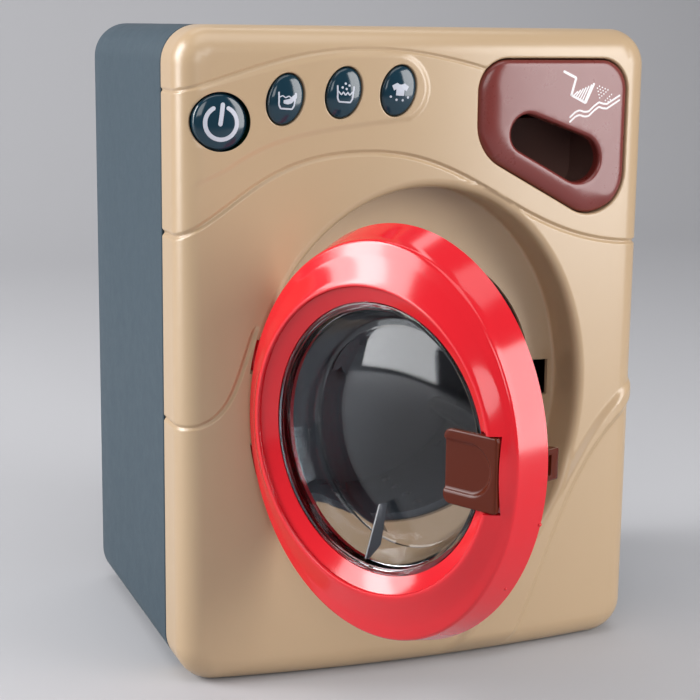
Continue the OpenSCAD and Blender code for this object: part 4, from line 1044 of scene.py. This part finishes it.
def stroke(line, width, closed):
    """Flat meshes of a line with a width: its strip, and round ends where it is open."""
    p = np.array(resample(line, 0.35, closed))
    n = normals(p, closed)
    parts = [bands([p + n * width / 2, p, p - n * width / 2], closed)]
    if not closed:
        for end, d in ((p[0], n[0]), (p[-1], -n[-1])):
            start = math.degrees(math.atan2(d[0], -d[1]))
            fan = [tuple(end)] + arc(end, width / 2, start - 90, start + 90, 7)
            parts.append((fan, [(0, i, i + 1) for i in range(1, 7)]))
    return parts


def fill(loop):
    """Flat mesh inside a closed loop."""
    even = resample(loop, 0.4)
    (x0, z0), (x1, z1) = np.min(even, axis=0), np.max(even, axis=0)
    grid = even_grid(x0, x1, z0, z1, 0.6)
    return triangulate(grid[inside(grid, even)], [even], without(even, []))


def print_sign(name, body, strokes, fills, y, finish, turn=0.0, at=(0, 0), size=1.0):
    """A thin printed sign on a surface y(x, z): strokes are (line, width), fills are closed loops."""
    lift, sunk = 0.04, 0.02         # the ink's face above the surface, and its back below it
    c, s = math.cos(math.radians(turn)), math.sin(math.radians(turn))

    def place(p):
        p = np.asarray(p, float) * size
        return np.stack([at[0] + p[:, 0] * c - p[:, 1] * s, at[1] + p[:, 0] * s + p[:, 1] * c], 1).tolist()

    parts = []
    for line, width in strokes:
        closed = len(line) > 2 and line[0] == line[-1]
        parts += stroke(place(line[:-1] if closed else line), width, closed)
    parts += [fill(place(loop)) for loop in fills]
    sheet = Mesh()
    for flat, faces in parts:
        sheet.add([(x, float(y(x, z)) - lift, z) for x, z in flat], faces)
    sign = sheet.make(name, body, finish, flat=60, weld=False, outward=False)
    with editing(sign) as bm:
        for face in bm.faces:
            face.normal_update()
            if face.normal.y > 0:
                face.normal_flip()
    thicken(sign, lift + sunk)
    shade(sign, 60)


def make_power_button(navy, ink):
    """Round button with the power sign: an open ring and a bar."""
    y = make_cap("power_cap", "power_button", POWER, POWER_R, POWER_R, 0, 34, 1.2, navy)
    ring, bar = arc((0, -0.3), 5.0, 118, 422, 60), [(0.6, 5.2), (-0.3, -0.6)]
    print_sign("power_sign", "power_button", [(ring, 1.3), (bar, 1.35)], [], y, ink, at=POWER)


def dot(x, z, r=0.33):
    """Loop of a small printed dot."""
    return ellipse(r, r, 12, (x, z))


def make_mode_buttons(navy, ink):
    """Three oval buttons: hand wash, bubbles in a tub, and a shirt over drops."""
    tub = [(-2.2, 1.6), (-2.0, -1.4), (-1.5, -2.3), (1.5, -2.3), (2.0, -1.4), (2.2, 1.6)]
    wave = [(-2.0, 0.5), (-1.2, 0.9), (-0.4, 0.4), (0.4, 0.9), (1.2, 0.4), (2.0, 0.8)]
    hand = [(-0.9, -0.2), (0.6, 0.2), (2.5, 1.9), (2.6, 0.6), (1.2, -0.9), (0.2, -1.2), (-0.9, -1.0)]
    zigzag = [(-1.9, 0.3), (-1.1, -0.5), (-0.6, 0.2), (0, -0.6), (0.6, 0.2), (1.1, -0.5), (1.9, 0.3)]
    shirt = [(-0.9, 2.0), (-0.3, 1.6), (0.4, 1.6), (1.0, 2.0), (2.3, 1.2), (1.7, 0.0), (1.1, 0.4),
             (1.1, -1.2), (-1.1, -1.2), (-1.1, 0.4), (-1.7, 0.0), (-2.3, 1.2)]
    bubbles = [dot(-0.9, 1.3), dot(0.2, 1.0), dot(0.9, 1.9), dot(-0.1, 2.3)]
    drops = [dot(-2.4, -1.6), dot(-0.8, -2.3), dot(0.9, -2.3), dot(2.3, -1.5)]
    signs = [([(tub, 0.5), (wave, 0.35)], [hand]), ([(tub, 0.5), (zigzag, 0.42)], bubbles),
             ([], [shirt] + drops)]
    for i, (strokes, fills) in enumerate(signs):
        body = "mode_button_%d" % (i + 1)
        y = make_cap("mode_cap_%d" % (i + 1), body, MODES[i], MODE_A, MODE_B, MODE_TILT, 20, 1.9, navy)
        print_sign("mode_sign_%d" % (i + 1), body, strokes, fills, y, ink, turn=-4, at=MODES[i], size=1.22)


# ---------- detergent drawer ----------

# finger hole: two circles and the flanks between them
FINGER_TOP, FINGER_TOP_R, FINGER_LOW, FINGER_LOW_R = (34, 176.5), 6.3, (53.5, 168), 7.8


def slot_outline(c1, r1, c2, r2, n=18):
    """Closed loop round two circles of unlike radius."""
    a, b = np.array(c1, float), np.array(c2, float)
    d = np.linalg.norm(b - a)
    along = math.degrees(math.atan2(*(b - a)[::-1]))
    lean = math.degrees(math.acos((r1 - r2) / d))
    return arc(a, r1, along + lean, along + 360 - lean, n) + arc(b, r2, along - lean, along + lean, n)


def drawer_face(x, z=None):
    """Surface of the drawer front: proud of the panel, rolling off widely at the left and below."""
    x = np.clip(np.atleast_1d(np.asarray(x, float)), *DRAWER_X)
    y0, y1 = crown(DRAWER_X[0]) - 0.6, crown(DRAWER_X[1]) - 0.6
    centre, half = (DRAWER_X[0] + DRAWER_X[1]) / 2, (DRAWER_X[1] - DRAWER_X[0]) / 2
    plane = y0 + (y1 - y0) * (x - DRAWER_X[0]) / (2 * half) - 0.9 * (1 - ((x - centre) / half) ** 2)
    if z is None:
        return plane
    z = np.atleast_1d(np.asarray(z, float))
    slope = math.atan2(DRAWER_RIGHT - DRAWER_LEFT, DRAWER_X[1] - DRAWER_X[0])
    below = (z - DRAWER_LEFT) * math.cos(slope) - (x - DRAWER_X[0]) * math.sin(slope)
    near = np.minimum(DRAWER_TOP - z, DRAWER_X[1] - x) - np.minimum(x - DRAWER_X[0], below)
    wide = smooth(near / 14 + 0.5)
    d = distance(np.stack([x, z], 1), drawer_outline(0), True)
    t = np.clip(1 - d / (2.2 + 5.3 * wide), 0, 1)
    return plane + (1.5 + 1.2 * wide) * (1 - np.sqrt(1 - np.minimum(t, 0.995) ** 2))


def make_drawer_front(finish):
    """Glossy drawer front with broad rounded edges and a finger hole."""
    hole_r, back_y = 1.3, FRONT_Y + 0.4
    rim = resample(drawer_outline(0), 1.0)
    finger = resample(slot_outline(FINGER_TOP, FINGER_TOP_R + hole_r,
                                   FINGER_LOW, FINGER_LOW_R + hole_r), 0.9)

    def on_front(p, room=0.4):
        return without(rim, [finger])(p) & (distance(p, rim, True) > room * 0.1) \
            & (distance(p, finger, True) > room)

    # rows of points along the rounded edge, and a grid between them
    paths = []
    for inset in (0.1, 0.3, 0.7, 1.2, 1.8, 2.5, 3.4, 4.4, 5.5, 6.6, 7.7):
        ring = resample(drawer_outline(-inset), 1.1)
        paths += kept_parts(ring + ring[:1], on_front)
    grid = even_grid(18, 70, 144, 199, 1.7)
    grid = grid[on_front(grid) & (distance(grid, rim, True) > 8.3)]
    flat, faces = triangulate(grid, [rim, finger], without(rim, [finger]), paths)
    skin = Mesh()
    skin.add(at_depth(flat, drawer_face(*flat.T)), faces)
    edge = drawer_face(*np.array(rim).T)
    skin.wall(rim, edge, np.maximum(back_y, edge + 0.1))
    # rounded edge and wall of the finger hole
    out = np.array(offset_ring(finger, 1.0)) - np.array(finger)
    lip = drawer_face(*np.array(finger).T)
    sides = []
    for a in np.radians(np.linspace(0, 90, 6)):
        hole = np.array(finger) - out * hole_r * math.sin(a)
        sides.append(at_depth(hole, lip + hole_r * (1 - math.cos(a))))
    skin.skin(sides + [at_depth(hole, back_y)])
    skin.sheet(back_y, rim, [hole])
    front = skin.make("drawer_cap", "drawer", finish, flat=50)
    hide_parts("drawer_front")


def make_drawer_sign(ink):
    """Printed scoop full of powder and two wavy lines."""
    handle = [(46.5, 196.3), (51.1, 194.3), (49.5, 188.8)]
    scoop = [(49.5, 188.8), (55.1, 186.2), (58.1, 192.3)]
    strokes = [(handle, 0.85), (scoop, 0.8)]
    for k in range(6):
        t = (k + 0.6) / 6.2
        foot, top = (49.9 + 5.3 * t, 188.9 - 2.5 * t), (51.2 + 6.6 * t, 189.6 + 2.6 * t)
        strokes.append(([foot, top], 0.5))
    low = [(49.3, 180.2), (51.4, 181.9), (53.0, 182.4), (54.6, 181.8), (56.4, 181.9), (58.4, 183.6),
           (60.4, 184.9), (62.0, 184.4), (63.6, 184.3), (66.0, 185.6), (68.6, 187.0)]
    low = resample(low, 0.8, False)
    strokes += [(low, 0.6), ([(x, z + 1.5) for x, z in low], 0.6)]
    dots = []
    for row in range(5):
        for col in range(6 - row // 2):
            x, z = 59.2 + col * 1.15 + row * 0.35, 192.0 - row * 1.05 - col * 0.42
            if (row + col) % 5:
                dots.append(ellipse(0.3, 0.3, 8, (x, z)))
    print_sign("drawer_sign", "drawer", strokes, dots, lambda x, z: drawer_face(x, z)[0], ink)


# ---------- finishes ----------

def linear(code):
    """Linear colour of an sRGB hex value."""
    parts = [int(code[i:i + 2], 16) / 255 for i in (0, 2, 4)]
    return tuple(c / 12.92 if c <= 0.04045 else ((c + 0.055) / 1.055) ** 2.4 for c in parts) + (1.0,)


def add(tree, kind, inputs=(), **settings):
    """Adds a node with its settings, values and links."""
    node = tree.nodes.new(kind)
    for name, value in settings.items():
        setattr(node, name, value)
    for name, value in dict(inputs).items():
        if isinstance(value, bpy.types.NodeSocket):
            tree.links.new(value, node.inputs[name])
        else:
            node.inputs[name].default_value = value
    return node


def new_material(name):
    """An empty material, its tree and the place on the piece that its patterns follow."""
    material = bpy.data.materials.new(name)
    material.use_nodes = True
    tree = material.node_tree
    tree.nodes.clear()
    return material, tree, add(tree, "ShaderNodeTexCoord").outputs["Object"]


def noise(tree, at, size, detail, **inputs):
    """Noise with patches of about a size in millimetres."""
    return add(tree, "ShaderNodeTexNoise", {"Vector": at, "Scale": 1000 / size, "Detail": detail,
                                            **inputs}).outputs["Fac"]


def spread(tree, value, low, high, **inputs):
    """A value from 0 to 1 spread between two others."""
    return add(tree, "ShaderNodeMapRange", {"Value": value, "To Min": low, "To Max": high,
                                            **inputs}).outputs["Result"]


def between(tree, share, low, high):
    """A colour between two, by a share."""
    mix = add(tree, "ShaderNodeMix", {"Factor": share}, data_type="RGBA")
    mix.inputs[6].default_value, mix.inputs[7].default_value = low, high
    return mix.outputs[2]


def bump(tree, height, depth, **inputs):
    """Relief of a depth in millimetres, as a direction for the shader."""
    return add(tree, "ShaderNodeBump", {"Height": height, "Strength": 1.0, "Distance": depth * MM,
                                        **inputs}).outputs["Normal"]


def surface(tree, inputs):
    """Ends a material's tree with a surface of these inputs."""
    shader = add(tree, "ShaderNodeBsdfPrincipled", inputs)
    add(tree, "ShaderNodeOutputMaterial", {"Surface": shader.outputs["BSDF"]})


def shaded(tone, share):
    """A linear colour, lighter or darker by a share."""
    return tuple(min(c * share, 1) for c in tone[:3]) + (1.0,)


def moulded(name, colour, rough, ior=1.52, patch=0.04, scuff=0.06, grain_mm=0.0, grain=0.0,
            ripple=0.02, coat=0.0):
    """Injection moulded plastic: faint flow patches, uneven gloss, and grain or slow ripple."""
    material, tree, at = new_material(name)
    tone = linear(colour)
    skin = between(tree, noise(tree, at, 45, 2.0), shaded(tone, 1 - patch), shaded(tone, 1 + patch))
    wear = noise(tree, at, 7, 5.0, Roughness=0.7)
    gloss = spread(tree, wear, rough, rough + scuff, **{"From Min": 0.35, "From Max": 0.75})
    dents = bump(tree, noise(tree, at, 16, 1.0), ripple)
    if grain:
        dents = bump(tree, noise(tree, at, grain_mm, 2.0), grain, Normal=dents)
    surface(tree, {"Base Color": skin, "Roughness": gloss, "IOR": ior, "Normal": dents,
                   "Coat Weight": coat, "Coat Roughness": 0.05})
    return material


def metal(name, colour, rough, brush_mm=0.3, grain=0.01):
    """Plated or drawn steel with fine lines along its turning."""
    material, tree, at = new_material(name)
    stretch = add(tree, "ShaderNodeMapping", {"Vector": at, "Scale": (1, 6, 1)}).outputs["Vector"]
    lines = noise(tree, stretch, brush_mm * 6, 3.0)
    surface(tree, {"Base Color": linear(colour), "Metallic": 1.0,
                   "Roughness": spread(tree, lines, rough - 0.08, rough + 0.12),
                   "Normal": bump(tree, lines, grain)})
    return material


def clear_plastic(name, colour):
    """Clear styrene: thin wall that lets the view through, with sharp reflections."""
    material, tree, at = new_material(name)
    surface(tree, {"Base Color": linear(colour), "IOR": 1.36, "Transmission Weight": 1.0,
                   "Roughness": spread(tree, noise(tree, at, 9, 3.0), 0.02, 0.07),
                   "Normal": bump(tree, noise(tree, at, 20, 1.0), 0.01)})
    return material


def printed_ink(name, colour):
    """Pad printed ink: thin, slightly uneven cover."""
    material, tree, at = new_material(name)
    tone = linear(colour)
    cover = between(tree, noise(tree, at, 0.8, 2.0), shaded(tone, 0.85), tone)
    surface(tree, {"Base Color": cover, "Roughness": 0.42})
    return material


def paper(name, colour):
    """Matt backdrop paper."""
    material, tree, _ = new_material(name)
    surface(tree, {"Base Color": linear(colour), "Roughness": 0.8, "Specular IOR Level": 0.2})
    return material


# beige ABS from a polished mould: broad soft highlights on the rounded edges
BEIGE = moulded("abs_polished_beige", "B29878", 0.3, ior=1.6, patch=0.012, scuff=0.02, ripple=0.0)
# slate blue ABS from a spark eroded mould: fine grain that spreads the light
SLATE = moulded("abs_textured_slate", "263B47", 0.5, patch=0.04, scuff=0.08, grain_mm=0.7, grain=0.05)
# red ABS from a mirror polished mould: sharp, bright reflections
RED = moulded("abs_mirror_red", "CF1A25", 0.12, patch=0.02, scuff=0.03, ripple=0.006)
# dark red ABS, polished: a soft sheen under a faint wax coat
DARK_RED = moulded("abs_mirror_dark_red", "6E2B26", 0.27, patch=0.02, scuff=0.03, ripple=0.0, coat=0.1)
# brown ABS, polished: small highlights, and weak ones where the light comes flat
BROWN = moulded("abs_polished_brown", "4F1B0A", 0.16, ior=1.28, patch=0.03, scuff=0.04, ripple=0.01)
# the drawer's inside: the same plastic, matt, with its colour made paler as painted light, standing in for
# the light that reaches into the finger hole
POCKET_PAINTED_LIGHT = moulded("abs_matt_dark_red_painted_light", "7C5A52", 0.45, patch=0.05, scuff=0.06)
# navy ABS, mirror polished: the domes show the lamps as sharp spots
NAVY = moulded("abs_mirror_navy", "0B2C3A", 0.09, patch=0.02, scuff=0.03, ripple=0.008)
# clear styrene, faintly smoky; a low index keeps the reflections of the thin wall weak
CLEAR = clear_plastic("styrene_clear", "D2D6DB")
# the blade of the same styrene is seen on edge, and looks dark grey
SMOKE = moulded("styrene_blade", "484C52", 0.2, patch=0.02, scuff=0.03, ripple=0.0)
# pad printing, light grey on the buttons and white on the drawer: flat and slightly broken
INK_GREY = printed_ink("pad_print_grey", "B9BDC8")
INK_WHITE = printed_ink("pad_print_white", "E3DEDF")
# dark polypropylene as moulded: a satin black that keeps the tub's inside quiet
TUB = moulded("polypropylene_dark", "17181B", 0.45, ior=1.49, patch=0.05, scuff=0.1, ripple=0.04)
# slate grey polypropylene of the drum: matt, so that its holes and lifters stand out
DRUM = moulded("polypropylene_slate", "343A41", 0.55, ior=1.49, patch=0.04, scuff=0.1, ripple=0.04)
# natural acetal of the wheels: waxy, slightly warm white
ACETAL = moulded("acetal_natural", "DAD6CA", 0.38, ior=1.48, patch=0.02, scuff=0.1, ripple=0.01)
# zinc plated steel: grey, with fine bright lines
STEEL = metal("steel_zinc_plated", "A9ABAE", 0.32)
# green glass epoxy board: glossy solder mask over the weave
BOARD = moulded("epoxy_board_green", "1E5B36", 0.3, patch=0.06, scuff=0.1, grain_mm=0.5, grain=0.01)
# black moulded plastic of the switches and the speaker cone: dull and dark
BLACK = moulded("polyamide_black", "121214", 0.5, patch=0.05, scuff=0.1)
# printed steel of the cells: smooth gold with a metal sheen
CELL = metal("steel_printed_gold", "A98236", 0.3, brush_mm=2.0, grain=0.0)

# solids of the frame that keep their own mesh
KEPT = ((BEIGE, "drawer_guide"), (SLATE, "battery_cover"), (CELL, "cells"), (TUB, "tub"), (DRUM, "drum"),
        # the drawer tray's paler colour is painted light seen through the finger hole
        (RED, "window_clamp"), (BOARD, "button_board"), (BLACK, "button_switches speaker"),
        (POCKET_PAINTED_LIGHT, "drawer_tray"), (ACETAL, "drum_bush gear_plate drum_gear idler_gear motor_pinion"),
        (STEEL, "cover_screw casing_screws tub_screws plate_screws board_screws clamp_screws"),
        (STEEL, "battery_contacts idler_axle motor motor_clamp speaker_clamp drum_shaft"),
        (STEEL, "hinge_pin latch_pin latch_spring"))
for finish, names in KEPT:
    for node_name in names.split():
        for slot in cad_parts[node_name].material_slots:
            slot.material = finish

make_front_panel(BEIGE)
make_rear_case(SLATE)
make_door_ring(RED)
make_hinge_arms(RED)
make_nibs(RED)
make_window(CLEAR)
make_fin(SMOKE)
make_latch_plate(BROWN)
make_latch_hook(BROWN)
make_power_button(NAVY, INK_GREY)
make_mode_buttons(NAVY, INK_GREY)
make_drawer_front(DARK_RED)
make_drawer_sign(INK_WHITE)


# ---------- stage, lights and camera ----------

BACKDROP = "B4B4B7"


def make_stage():
    """Pale floor that curves up into a backdrop."""
    skin = Mesh()
    profile = [(-1500, 0), (400, 0), (650, 0)] + arc((900, 600), 600, 270, 350, 12) + [(1500, 2400)]
    skin.skin([[(x, y, z - 0.05) for y, z in profile] for x in (-2500, 2500)], close=False)
    floor = new_object("floor", skin.verts, skin.faces)
    floor.data.materials.append(paper("paper_pale_grey", BACKDROP))
    for f in floor.data.polygons:
        f.use_smooth = True


def softbox(name, at, size, power, target=(0, 0, 0.1)):
    """A soft lamp in metres and watts, turned to its target."""
    light = bpy.data.lights.new(name, "AREA")
    light.shape = "RECTANGLE"
    light.size, light.size_y = size
    light.energy = power
    lamp = bpy.data.objects.new(name, light)
    lamp.location = at
    lamp.rotation_euler = (Vector(target) - Vector(at)).to_track_quat("-Z", "Y").to_euler()
    bpy.context.scene.collection.objects.link(lamp)


def make_camera():
    """Camera at the front left, a little above the middle of the cabinet."""
    place = (-0.2091, -0.5491, 0.2100)
    yaw, pitch, roll = 0.361, 0.193, 0.012      # to the right, down and over, in radians
    lens, sensor = 85.3, 36
    ahead = Vector((math.sin(yaw) * math.cos(pitch), math.cos(yaw) * math.cos(pitch), -math.sin(pitch)))
    level = Vector((math.cos(yaw), -math.sin(yaw), 0))
    upright = level.cross(ahead)
    right = math.cos(roll) * level + math.sin(roll) * upright
    up = math.cos(roll) * upright - math.sin(roll) * level
    camera = bpy.data.objects.new("camera", bpy.data.cameras.new("camera"))
    camera.data.lens, camera.data.sensor_width = lens, sensor
    camera.matrix_world = Matrix((right, up, -ahead)).transposed().to_4x4()
    camera.location = place
    bpy.context.scene.collection.objects.link(camera)
    bpy.context.scene.camera = camera


make_stage()
make_camera()
# long highlight down the left edge
softbox("softbox_left", (-1.12, 0.2, 0.5), (0.5, 1.0), 12.5)
# small light from the front, for the ring's face
softbox("softbox_fill", (-0.3, -0.75, 0.4), (0.3, 0.3), 1.2)
# light from behind on the left side and the upper edge
softbox("softbox_rim", (-1.0, 0.42, 0.66), (0.5, 0.6), 7)
softbox("softbox_top", (-0.1, -0.4, 1.15), (1.0, 0.7), 4.5)
# broad light on the face, with its reflection in the ring and the drawer
softbox("softbox_right", (0.66, -0.74, 0.36), (0.5, 0.8), 9.5)
softbox("softbox_backdrop", (0.1, 0.7, 1.7), (1.6, 0.5), 9, target=(0.3, 1.5, 0.5))
scene = bpy.context.scene
scene.view_settings.view_transform = "Standard"
world = bpy.data.worlds.new("room")
scene.world = world
world.use_nodes = True
world.node_tree.nodes["Background"].inputs["Color"].default_value = linear("C4C4C8")
world.node_tree.nodes["Background"].inputs["Strength"].default_value = 0.36

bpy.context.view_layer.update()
